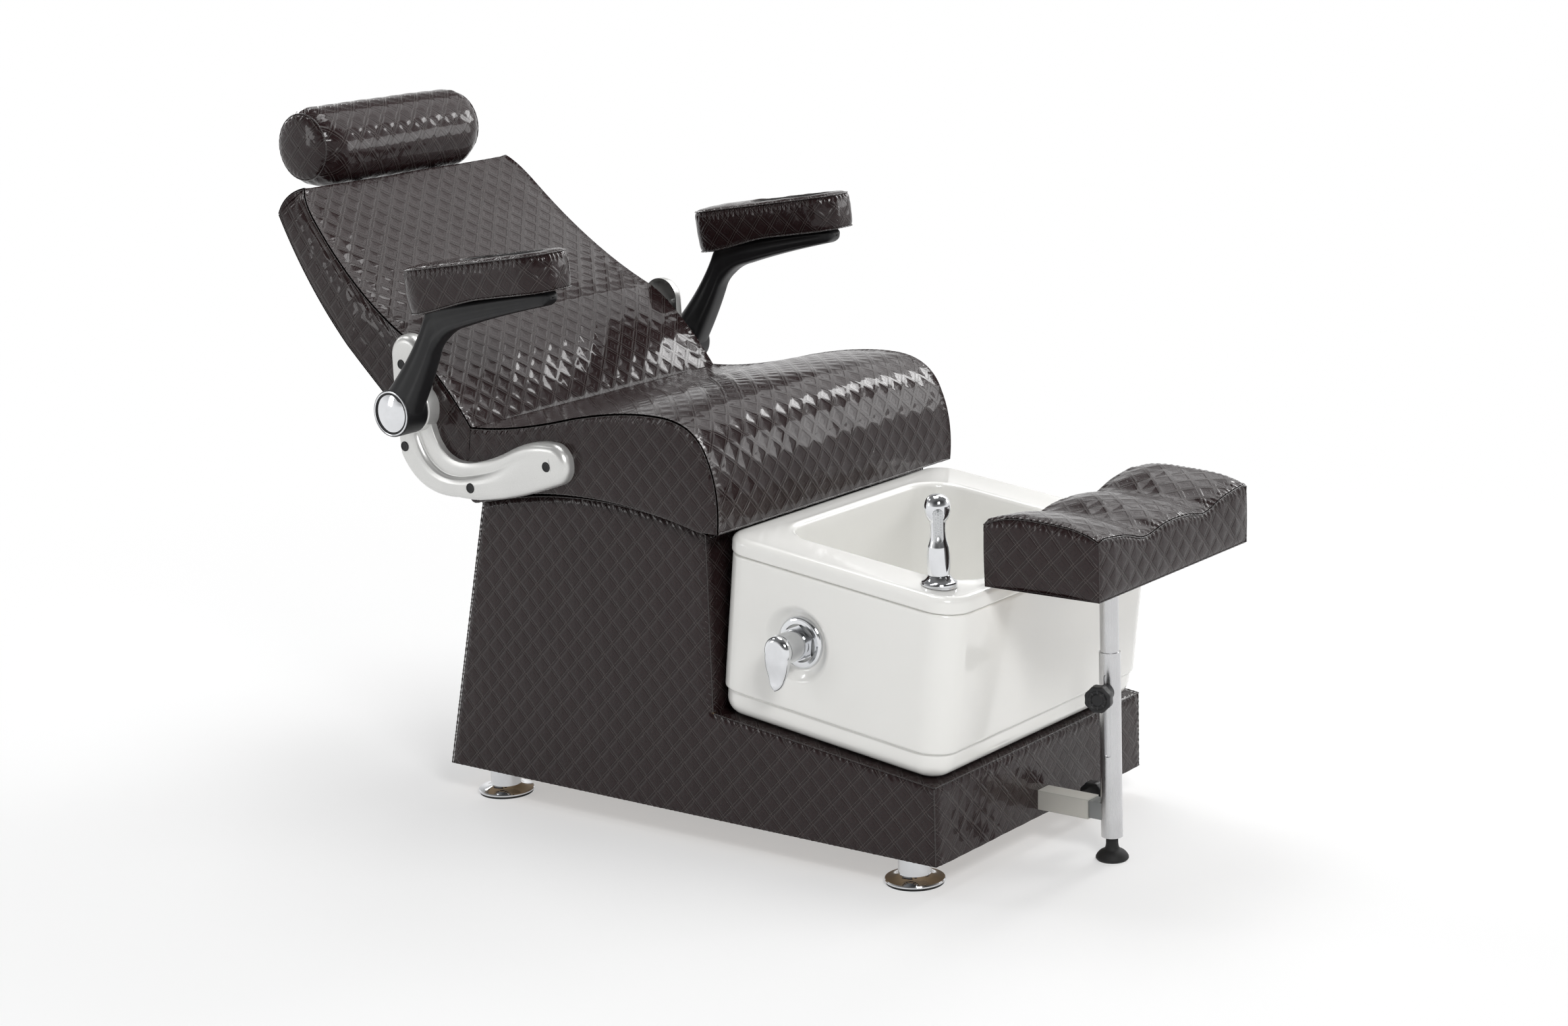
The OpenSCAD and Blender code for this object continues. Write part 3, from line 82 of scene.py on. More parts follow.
# ---------------------------------------------------------------- materials
class Nodes:
    """Short calls for the nodes of a tree."""

    def __init__(self, tree):
        self.t = tree

    def node(self, kind, **inputs):
        """p_name sets a property, i0 an input by number, any other name an input by name."""
        n = self.t.nodes.new(kind)
        for k, v in inputs.items():
            if k.startswith("p_"):
                setattr(n, k[2:], v)
        for k, v in inputs.items():
            if not k.startswith("p_"):
                key = int(k[1:]) if k[0] == "i" and k[1:].isdigit() else k.replace("_", " ")
                self.put(n.inputs[key], v)
        return n

    def put(self, socket, v):
        if isinstance(v, bpy.types.NodeSocket):
            self.t.links.new(v, socket)
        else:
            socket.default_value = v

    def math(self, op, *values):
        n = self.node("ShaderNodeMath", p_operation=op)
        for socket, v in zip(n.inputs, values):
            self.put(socket, v)
        return n.outputs[0]

    def span(self, value, lo, hi, start=0.0, end=1.0):
        """Goes smoothly from start to end while value goes from lo to hi."""
        return self.node("ShaderNodeMapRange", p_interpolation_type="SMOOTHSTEP", Value=value,
                         From_Min=lo, From_Max=hi, To_Min=start, To_Max=end).outputs[0]


class Mat(Nodes):
    """A principled material."""

    def __init__(self, name, base=(0.5, 0.5, 0.5), rough=0.4, metal=0.0, **sockets):
        self.m = bpy.data.materials.new(name)
        self.m.use_nodes = True
        super().__init__(self.m.node_tree)
        self.bsdf = next(n for n in self.t.nodes if n.type == "BSDF_PRINCIPLED")
        sockets.update(Base_Color=(*base, 1), Roughness=rough, Metallic=metal)
        for k, v in sockets.items():
            self.put(self.bsdf.inputs[k.replace("_", " ")], v)

    def noise(self, scale, detail=3, rough=0.5, at=None):
        at = at or self.node("ShaderNodeTexCoord").outputs["Object"]
        n = self.node("ShaderNodeTexNoise", Vector=at, Scale=scale, Detail=detail, Roughness=rough)
        return n.outputs["Fac"]

    def ramp(self, value, *stops):
        n = self.t.nodes.new("ShaderNodeValToRGB")
        self.put(n.inputs[0], value)
        e = n.color_ramp.elements
        while len(e) < len(stops):
            e.new(0.5)
        for el, (p, c) in zip(e, stops):
            el.position = p
            el.color = (c, c, c, 1) if isinstance(c, (int, float)) else (*c, 1)
        return n.outputs[0]

    def mix(self, fac, a, b):
        n = self.node("ShaderNodeMix", p_data_type="RGBA")
        self.put(n.inputs[0], fac)
        for s, v in ((n.inputs[6], a), (n.inputs[7], b)):
            self.put(s, v if isinstance(v, bpy.types.NodeSocket) else (*v, 1))
        return n.outputs[2]

    def colour(self, v):
        self.put(self.bsdf.inputs["Base Color"], v)

    def rough(self, v, gain=1.0, least=0.0):
        self.put(self.bsdf.inputs["Roughness"], self.math("MULTIPLY_ADD", v, gain, least))

    def bump(self, height, distance, strength=1.0):
        n = self.node("ShaderNodeBump", Height=height, Distance=distance, Strength=strength)
        self.put(self.bsdf.inputs["Normal"], n.outputs[0])

    def edges(self, radius=0.003, samples=4):
        """0 on flat faces, up to 1 along sharp edges."""
        b = self.node("ShaderNodeBevel", p_samples=samples, Radius=radius)
        g = self.node("ShaderNodeNewGeometry")
        d = self.node("ShaderNodeVectorMath", p_operation="DOT_PRODUCT",
                      i0=b.outputs[0], i1=g.outputs["Normal"])
        return self.math("MULTIPLY", self.math("SUBTRACT", 1.0, d.outputs["Value"]), 4.0)


def shade(base, f):
    """A colour made lighter or darker."""
    return tuple(min(1, f * c) for c in base)


def vinyl():
    k = Mat("embossed_vinyl", (0.020, 0.013, 0.0125), 0.2, 0.0,
            Coat_Weight=0.34, Coat_Roughness=0.04, Specular_IOR_Level=0.14)
    uv = k.node("ShaderNodeUVMap", p_uv_map="UVMap").outputs[0]
    xyz = k.node("ShaderNodeSeparateXYZ", i0=uv)
    u, v = xyz.outputs[0], xyz.outputs[1]
    s = SQ2 / (PITCH / 1000)
    a = k.math("MULTIPLY", k.math("ADD", u, v), s)
    b = k.math("MULTIPLY", k.math("SUBTRACT", u, v), s)
    da, db = k.math("PINGPONG", a, 0.5), k.math("PINGPONG", b, 0.5)
    d = k.math("MINIMUM", da, db)
    # Nested squares between the stitched bands
    form = k.ramp(k.math("MULTIPLY", d, 2.0),
                  (0.0, 0.52), (0.10, 0.52), (0.13, 0.20), (0.18, 0.20), (0.215, 0.34),
                  (0.33, 0.93), (0.62, 0.98), (0.65, 0.62), (0.69, 0.62),
                  (0.735, 1.0), (1.0, 1.0))

    # Two rows of stitches beside each line, in shares of the pitch
    stitch_at, stitch_half, per_pitch, gap = 0.078, 0.017, 11.0, 0.15

    def stitch(dist, along):
        row = k.math("LESS_THAN", k.math("ABSOLUTE", k.math("SUBTRACT", dist, stitch_at)),
                     stitch_half)
        dash = k.math("GREATER_THAN",
                      k.math("PINGPONG", k.math("MULTIPLY", along, per_pitch), 0.5), gap)
        return k.math("MULTIPLY", row, dash)

    thread = k.math("MAXIMUM", stitch(da, b), stitch(db, a))
    grain = k.noise(1400, 2, 0.6, uv)
    pores = k.node("ShaderNodeTexVoronoi", Vector=uv, Scale=900.0).outputs["Distance"]
    height = k.math("ADD", form, k.math("MULTIPLY", thread, 0.75))
    height = k.math("ADD", height, k.math("MULTIPLY", grain, 0.05))
    height = k.math("ADD", height, k.math("MULTIPLY", pores, 0.03))
    # Each square leans its own way, so that they catch the light one by one
    cell = k.node("ShaderNodeCombineXYZ", i0=k.math("ROUND", k.math("SUBTRACT", a, 0.5)),
                  i1=k.math("ROUND", k.math("SUBTRACT", b, 0.5)))
    lean = k.node("ShaderNodeTexWhiteNoise", p_noise_dimensions="2D", Vector=cell.outputs[0])
    pick = k.node("ShaderNodeSeparateXYZ", i0=lean.outputs["Color"])
    for way, at in ((pick.outputs[0], a), (pick.outputs[1], b)):
        off = k.math("SUBTRACT", k.math("FRACT", at), 0.5)
        part = k.math("MULTIPLY", k.math("MULTIPLY", k.math("SUBTRACT", way, 0.5), off), 0.9)
        inside = k.math("GREATER_THAN", d, 0.115)
        height = k.math("ADD", height, k.math("MULTIPLY", part, inside))
    k.bump(height, 0.001, 1.0)
    cloud = k.noise(7, 4, 0.6)
    base = k.mix(cloud, (0.0128, 0.0060, 0.0063), (0.0198, 0.0104, 0.0105))
    # Painted shade: the colour is darkened in the grooves and low bands, and painted lighter on the
    # raised squares
    groove_shade = k.ramp(form, (0.0, 0.55), (1.0, 1.12))
    base = k.node("ShaderNodeMix", p_data_type="RGBA", p_blend_type="MULTIPLY", i0=1.0,
                  i6=base, i7=groove_shade).outputs[2]
    base = k.mix(k.math("MULTIPLY", thread, 0.75), base, (0.100, 0.082, 0.078))
    k.colour(base)
    smudge = k.noise(23, 3, 0.55)
    r = k.math("MULTIPLY_ADD", smudge, 0.14, 0.17)
    k.rough(k.math("ADD", r, k.math("MULTIPLY", thread, 0.18)))
    return k.m


def welt_vinyl():
    k = Mat("seam_vinyl", (0.018, 0.012, 0.0115), 0.3, 0.0, Coat_Weight=0.3,
            Coat_Roughness=0.14, Specular_IOR_Level=0.45)
    uv = k.node("ShaderNodeUVMap", p_uv_map="UVMap").outputs[0]
    xyz = k.node("ShaderNodeSeparateXYZ", i0=uv)
    pleat = k.math("PINGPONG", k.math("MULTIPLY", xyz.outputs[0], 230.0), 0.5)
    g = k.noise(900, 2, 0.6, uv)
    k.bump(k.math("ADD", pleat, k.math("MULTIPLY", g, 0.5)), 0.0006, 0.8)
    k.colour(k.mix(k.noise(30, 3), (0.013, 0.0088, 0.0086), (0.030, 0.021, 0.020)))
    k.rough(g, 0.16, 0.16)
    return k.m


def acrylic():
    k = Mat("white_acrylic", (0.80, 0.80, 0.77), 0.16, 0.0, Coat_Weight=0.5,
            Coat_Roughness=0.06, Specular_IOR_Level=0.5)
    c = k.noise(3.5, 4, 0.55)
    k.colour(k.mix(c, (0.80, 0.795, 0.765), (0.87, 0.865, 0.84)))
    k.rough(k.noise(28, 4, 0.6), 0.12, 0.11)
    k.bump(k.noise(14, 3, 0.5), 0.0004, 0.35)
    return k.m


def chrome(name="polished_chrome", base=(0.78, 0.79, 0.81), rough=0.06, wave=0.05):
    k = Mat(name, base, rough, 1.0)
    n = k.noise(60, 4, 0.6)
    k.colour(k.mix(n, shade(base, 0.86), base))
    k.rough(k.noise(170, 3, 0.6), 0.07, rough)
    k.bump(k.noise(90, 2, 0.5), 0.0004, wave)
    return k.m


def brushed(name, base, rough, axis):
    """Satin metal with fine lines along an axis (0 X, 1 Y, 2 Z)."""
    k = Mat(name, base, rough, 1.0)
    at = k.node("ShaderNodeTexCoord").outputs["Object"]
    scale = [900.0, 900.0, 900.0]
    scale[axis] = 12.0
    st = k.node("ShaderNodeMapping", Vector=at, Scale=tuple(scale)).outputs[0]
    lines = k.noise(1.0, 3, 0.7, st)
    k.colour(k.mix(k.noise(20, 3), shade(base, 0.8), base))
    k.rough(lines, 0.25, rough - 0.1)
    k.bump(lines, 0.0002, 0.25)
    return k.m


def paint(name, base, rough, metal=0.0, fleck=0.0, edge_shade=(0.3, 0.3, 0.3), **kw):
    k = Mat(name, base, rough, metal, **kw)
    n = k.noise(16, 4, 0.6)
    c = k.mix(n, shade(base, 0.9), shade(base, 1.06))
    if fleck:
        f = k.ramp(k.noise(2600, 1, 0.5), (0.45, 0.0), (0.62, 1.0))
        c = k.mix(k.math("MULTIPLY", f, fleck), c, shade(base, 1.3))
    # Painted shade: the colour darkens towards a darker grey along sharp edges, in patches
    c = k.mix(k.math("MINIMUM", k.math("MULTIPLY", k.edges(), k.noise(90, 3)), 0.5), c, edge_shade)
    k.colour(c)
    k.rough(k.noise(45, 3, 0.6), 0.14, rough - 0.07)
    k.bump(k.noise(420, 2, 0.6), 0.0002, 0.3)
    return k.m


def plastic(name, base, rough, grain=700.0, strength=0.35):
    k = Mat(name, base, rough, 0.0, Specular_IOR_Level=0.32)
    n = k.noise(25, 4, 0.6)
    c = k.mix(n, shade(base, 0.75), shade(base, 1.25))
    c = k.mix(k.math("MINIMUM", k.math("MULTIPLY", k.edges(0.002), k.noise(120, 3)), 0.6), c,
              tuple(min(1, 4 * x + 0.02) for x in base))
    k.colour(c)
    k.rough(k.noise(60, 3), 0.16, rough - 0.08)
    k.bump(k.noise(grain, 2, 0.6), 0.0002, strength)
    return k.m


def wood():
    k = Mat("birch_plywood", (0.55, 0.40, 0.25), 0.6)
    at = k.node("ShaderNodeTexCoord").outputs["Object"]
    st = k.node("ShaderNodeMapping", Vector=at, Scale=(8.0, 8.0, 220.0)).outputs[0]
    ply = k.noise(1.0, 4, 0.6, st)
    k.colour(k.mix(ply, (0.34, 0.22, 0.12), (0.62, 0.47, 0.30)))
    k.rough(ply, 0.2, 0.5)
    k.bump(ply, 0.0005, 0.5)
    return k.m


VINYL, WELT, ACRYLIC = vinyl(), welt_vinyl(), acrylic()
CHROME = chrome()
STEEL = chrome("satin_steel", (0.60, 0.61, 0.62), 0.24, 0.03)
POST = brushed("brushed_post", (0.66, 0.66, 0.67), 0.26, 2)
BAR = brushed("galvanised_bar", (0.30, 0.31, 0.31), 0.3, 1)
SILVER = paint("silver_paint", (0.66, 0.66, 0.645), 0.33, 0.6, 0.5, (0.42, 0.42, 0.42),
               Coat_Weight=0.25, Coat_Roughness=0.25)
SLEEVE = paint("sleeve_paint", (0.55, 0.54, 0.50), 0.38, 0.3, 0.2, (0.3, 0.3, 0.29))
BLACK = plastic("black_plastic", (0.0085, 0.0085, 0.0095), 0.42)
KNOB = plastic("knob_plastic", (0.014, 0.014, 0.015), 0.42, 500.0, 0.5)
LINING = plastic("tray_lining", (0.009, 0.008, 0.008), 0.5, 1100.0, 0.6)
RUBBER = plastic("foot_rubber", (0.015, 0.015, 0.015), 0.62, 800.0, 0.6)
WOOD = wood()
SLOTS = {"vinyl": VINYL, "acrylic": ACRYLIC, "chrome": CHROME, "steel": STEEL,
         "silver": SILVER, "black_plastic": BLACK, "lining": LINING, "sleeve_paint": SLEEVE,
         "plywood": WOOD, "rubber": RUBBER}
OWN = {"post_inner": POST, "post_outer": POST, "slide_bar": BAR, "height_knob": KNOB,
       "reach_knob": KNOB}
slot_of = {s["node"]: s["material_slot"] for s in frame["record"]["subparts"]}
for name, ob in nodes.items():
    m = OWN.get(name, SLOTS[slot_of[name]])
    for s in ob.material_slots:
        s.material = m
    if not ob.material_slots:
        ob.data.materials.append(m)


# ---------------------------------------------------------------- mesh helpers
def join(*parts):
    """Coordinates, broadcast together, as an array of points."""
    return np.stack(np.broadcast_arrays(*parts), -1)


def grid(u, v):
    return np.meshgrid(u, v, indexing="ij")


def circle(n):
    """n angles once round."""
    return np.linspace(0, 2 * math.pi, n, endpoint=False)


def lift(p, w):
    """Points of a plane with a third coordinate w."""
    return np.concatenate([p, np.broadcast_to(w, len(p))[:, None]], 1)


def turned(prof, n, y, z):
    """Rings about an axis along X through (y, z), from (radius, x) pairs."""
    a = circle(n)
    return np.stack([join(x, y + r * np.cos(a), z + r * np.sin(a)) for r, x in prof])


def walk(p):
    """Length walked along a polyline up to each of its points."""
    return np.concatenate([[0], np.cumsum(np.linalg.norm(np.diff(p, axis=0), axis=1))])


def pick(p, s, q):
    """The polyline p, whose points lie at lengths s, at the lengths q."""
    return np.stack([np.interp(q, s, c) for c in p.T], -1)


def row(p):
    p = np.asarray(p, float).reshape(-1, 3)
    return (p - [0, MID_Y, 0]) / 1000


class Shape:
    """Patches of quads collected into one mesh, each with its own UVs in metres."""

    def __init__(self):
        self.v, self.f, self.uv, self.mi = [], [], [], []
        self.n = 0

    def add(self, p, uv=None, keep=None, flip=False, mat=0, close=False):
        """p is an (m, k, 3) grid in millimetres; keep masks its (m-1, k-1) cells."""
        p = np.asarray(p, float)
        m, k = p.shape[:2]
        idx = np.arange(m * k).reshape(m, k) + self.n
        if close:
            idx = np.concatenate([idx, idx[:, :1]], axis=1)
        q = join(idx[:-1, :-1], idx[:-1, 1:], idx[1:, 1:], idx[1:, :-1])
        q = q[keep] if keep is not None else q.reshape(-1, 4)
        q = q.reshape(-1, 4)
        if flip:
            q = q[:, ::-1]
        self.v.append(p.reshape(-1, 3))
        uv = np.zeros((m * k, 2)) if uv is None else np.asarray(uv).reshape(-1, 2) / 1000
        self.uv.append(uv)
        self.f.append(q)
        self.mi.append(np.full(len(q), mat))
        self.n += m * k
        return self

    def build(self, name, mats, body, replaces=(), slot=None, mirror=False, pad=None):
        v, f = np.concatenate(self.v), np.concatenate(self.f)
        uv, mi = np.concatenate(self.uv), np.concatenate(self.mi)
        if mirror:
            v = v * [-1, 1, 1]
            f = f[:, ::-1]
        used = np.zeros(len(v), bool)
        used[f] = True
        remap = np.cumsum(used) - 1
        v, uv, f = v[used], uv[used], remap[f]
        me = bpy.data.meshes.new(name)
        me.from_pydata(row(v).tolist(), [],
                       [[int(i) for i in dict.fromkeys(q)] for q in f.tolist()])
        lay = me.uv_layers.new(name="UVMap")
        li = np.zeros(len(me.loops), np.int32)
        me.loops.foreach_get("vertex_index", li)
        lay.data.foreach_set("uv", uv[li].astype(np.float32).ravel())
        for m in mats:
            me.materials.append(m)
        me.polygons.foreach_set("material_index", mi.astype(np.int32))
        me.polygons.foreach_set("use_smooth", np.ones(len(me.polygons), bool))
        me.update()
        ob = bpy.data.objects.new(name, me)
        bpy.context.scene.collection.objects.link(ob)
        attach(ob, body)
        if replaces:
            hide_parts(*replaces)
        return ob


def normals(p, close=False):
    """Unit normals of a grid of points."""
    a = np.gradient(p, axis=0)
    if close:
        w = np.concatenate([p[:, -1:], p, p[:, :1]], axis=1)
        b = np.gradient(w, axis=1)[:, 1:-1]
    else:
        b = np.gradient(p, axis=1)
    n = np.cross(b, a)
    l = np.linalg.norm(n, axis=-1, keepdims=True)
    return n / np.maximum(l, 1e-9)


def smooth(x, a, b):
    t = np.clip((x - a) / (b - a), 0, 1)
    return t * t * (3 - 2 * t)


# The vinyl's relief: distances from an embossed line, and the height at each
KNOTS = np.array([0, 1.88, 3.76, 5.64, 7.51, 9.39, 11.27, 13.15])
RISE = np.array([0.14, 0.0, 0.20, 0.34, 0.45, 0.60, 0.61, 0.62])


def emboss(u, v):
    """Relief of the lattice at (u, v) in millimetres: bands low, squares raised."""
    a, b = (u + v) * SQ2 / PITCH, (u - v) * SQ2 / PITCH
    d = np.minimum(np.abs(a - np.round(a)), np.abs(b - np.round(b))) * PITCH
    i, j = np.floor(a), np.floor(b)
    chance = lambda k: np.modf(np.abs(np.sin(i * 127.1 + j * 311.7 + k) * 43758.5453))[0] - 0.5
    lean = (chance(0.0) * (a - i - 0.5) + chance(1.7) * (b - j - 0.5)) * smooth(d, 1.5, 4.0)
    return np.interp(d, KNOTS, RISE) + 0.6 * lean


def rumple(u, v, size=70.0, seed=1, n=14):
    """Smooth pseudo-random field from -1 to 1, with waves of about the given size."""
    g = np.random.default_rng(seed)
    out = np.zeros(np.broadcast(u, v).shape)
    for _ in range(n):
        k = 2 * math.pi / (size * g.uniform(0.6, 1.8))
        t = g.uniform(0, 2 * math.pi)
        out += np.sin(k * (np.cos(t) * u + np.sin(t) * v) + g.uniform(0, 6.28))
    return out / math.sqrt(n) / 1.5


def pucker(along, e, amp=0.7, seed=5):
    """Fine gathers beside a seam; e is the distance from it."""
    return amp * np.sin(along * 0.62 + 2.2 * rumple(along, 0 * e, 60, seed, 6)) \
        * smooth(e, 0.3, 2.5) * (1 - smooth(e, 5, 15))


class Curve:
    """The source's chain of quadratic curves, walked by arc length. Each part is
    (a, b, c, n); at(s) gives the point, index(s) the source's point number there."""

    def __init__(self, *parts, dense=60):
        pts, idx, i0 = [], [], 0
        for a, b, c, n in parts:
            t = np.linspace(0, 1, dense, endpoint=False)[:, None]
            a, b, c = (np.array(x, float) for x in (a, b, c))
            pts.append((1 - t) ** 2 * a + 2 * t * (1 - t) * b + t * t * c)
            idx.append(i0 + t[:, 0] * n)
            i0 += n
        pts.append(np.array(parts[-1][2], float)[None])
        idx.append(np.array([i0]))
        self.p, self.i = np.concatenate(pts), np.concatenate(idx)
        self.s = walk(self.p)
        self.len = float(self.s[-1])

    def at(self, s):
        return pick(self.p, self.s, s)

    def index(self, s):
        return np.interp(s, self.s, self.i)


def steps(a, b, g=GRID):
    """Multiples of g between a and b, with the two ends."""
    k = np.arange(math.ceil(a / g + 0.2), math.floor(b / g - 0.2) + 1) * g
    return np.concatenate([[a], k, [b]])


def tube(shape, path, r, wob=0.0, closed=False, seg=8):
    """A thin roll along a path in millimetres, for piping and seams."""
    p = np.asarray(path, float)
    t = np.gradient(p, axis=0)
    if closed:
        w = np.concatenate([p[-1:], p, p[:1]])
        t = np.gradient(w, axis=0)[1:-1]
    t /= np.maximum(np.linalg.norm(t, axis=1, keepdims=True), 1e-9)
    ref = np.array([1.0, 0, 0]) if abs(t[:, 0]).max() < 0.9 else np.array([0, 0, 1.0])
    n = np.zeros_like(p)
    n[0] = np.cross(t[0], ref)
    if np.linalg.norm(n[0]) < 1e-6:
        n[0] = np.cross(t[0], [0, 1, 0])
    n[0] /= np.linalg.norm(n[0])
    for i in range(1, len(p)):
        m = n[i - 1] - t[i] * (n[i - 1] @ t[i])
        n[i] = m / max(np.linalg.norm(m), 1e-9)
    b = np.cross(t, n)
    s = walk(p)
    rr = r * (1 + wob * np.sin(s * 2 * math.pi / 9.0 + np.sin(s * 0.11) * 2))
    ang = circle(seg)
    ring = (p[:, None] + rr[:, None, None] * (np.cos(ang)[None, :, None] * n[:, None]
                                             + np.sin(ang)[None, :, None] * b[:, None]))
    uv = join(s[:, None], (ang * r)[None])
    if closed:
        ring = np.concatenate([ring, ring[:1]])
        uv = np.concatenate([uv, uv[:1]])
    shape.add(ring, uv, close=True, mat=1, flip=True)


def resample(path, step):
    p = np.asarray(path, float)
    s = walk(p)
    return pick(p, s, np.linspace(0, s[-1], max(2, int(s[-1] / step))))


def seam(shape, path, r, wob=0.3, step=3):
    tube(shape, resample(path, step), r, wob)


# ---------------------------------------------------------------- layout
TILT = rad(7)
CT, ST = math.cos(TILT), math.sin(TILT)
DECK0, RISER = 168, 402            # deck height at the front, riser from the front
TOP, LIFT, HALF = 492, 48, 281     # top, underside and half width
LEAN, LEN = 103, 955               # slope of the rear face, length
REAR_TOP = LEN - LEAN
ARCH_R = ((REAR_TOP - RISER) ** 2 / 4 + 29 ** 2) / 58
ARCH_Y, ARCH_Z = (RISER + REAR_TOP) / 2, TOP + 29 - ARCH_R
SEAT_R = ARCH_R + 7.5
VALLEY, SPLIT = REAR_TOP - 4, REAR_TOP + 10


def deck_z(y):
    return DECK0 + y * math.tan(TILT)


def rear_y(z):
    return LEN - LEAN * (z - LIFT) / (TOP - LIFT)


def arch_top(y):
    return ARCH_Z + np.sqrt(np.maximum(ARCH_R ** 2 - (y - ARCH_Y) ** 2, 0))


def seat_bottom(y):
    return ARCH_Z + np.sqrt(np.maximum(SEAT_R ** 2 - (np.asarray(y, float) - ARCH_Y) ** 2, 0))


# ---------------------------------------------------------------- cabinet upholstery
ROLL = 3.0     # how far a panel's edge is rolled in
EDGE = 10.0    # width over which it rolls


def clamp_grid(u0, u1, v0, v1, ulo, uhi, vlo, vhi):
    """A lattice-aligned grid whose rows and columns are clamped to curved limits.
    Returns U, V, the mask of cells with area."""
    u, v = steps(u0, u1), steps(v0, v1)
    U, V = grid(u, v)
    U = np.clip(U, ulo(V), uhi(V))
    V = np.clip(V, vlo(U), vhi(U))
    w = np.abs((U[1:, 1:] - U[:-1, :-1]) * (V[:-1, 1:] - V[1:, :-1])
               - (U[:-1, 1:] - U[1:, :-1]) * (V[1:, 1:] - V[:-1, :-1]))
    return U, V, w > 0.02


def panel(shape, U, V, keep, place, e, flip=False, relief=0.85, seed=1, loose=1.0):
    """Adds a flat panel: place(U, V, out) puts it in the chair, out along its normal.
    e is the distance to the nearest seam."""
    roll = -ROLL * (1 - np.clip(e / EDGE, 0, 1)) ** 2
    fade = smooth(e, 2.5, 9.0)
    out = roll + relief * emboss(U, V) * fade
    out = out + loose * 0.45 * rumple(U, V, 90, seed) * smooth(e, 0, 25)
    # small pleats along the seams
    out = out + loose * 0.35 * np.sin((U - V) * 0.33 + 2 * rumple(U, V, 40, seed + 5)) \
        * smooth(e, 1, 5) * (1 - smooth(e, 8, 26))
    out = out + loose * pucker(U - V, e, 0.75, seed)
    shape.add(place(U, V, out), join(U, V), keep, flip)


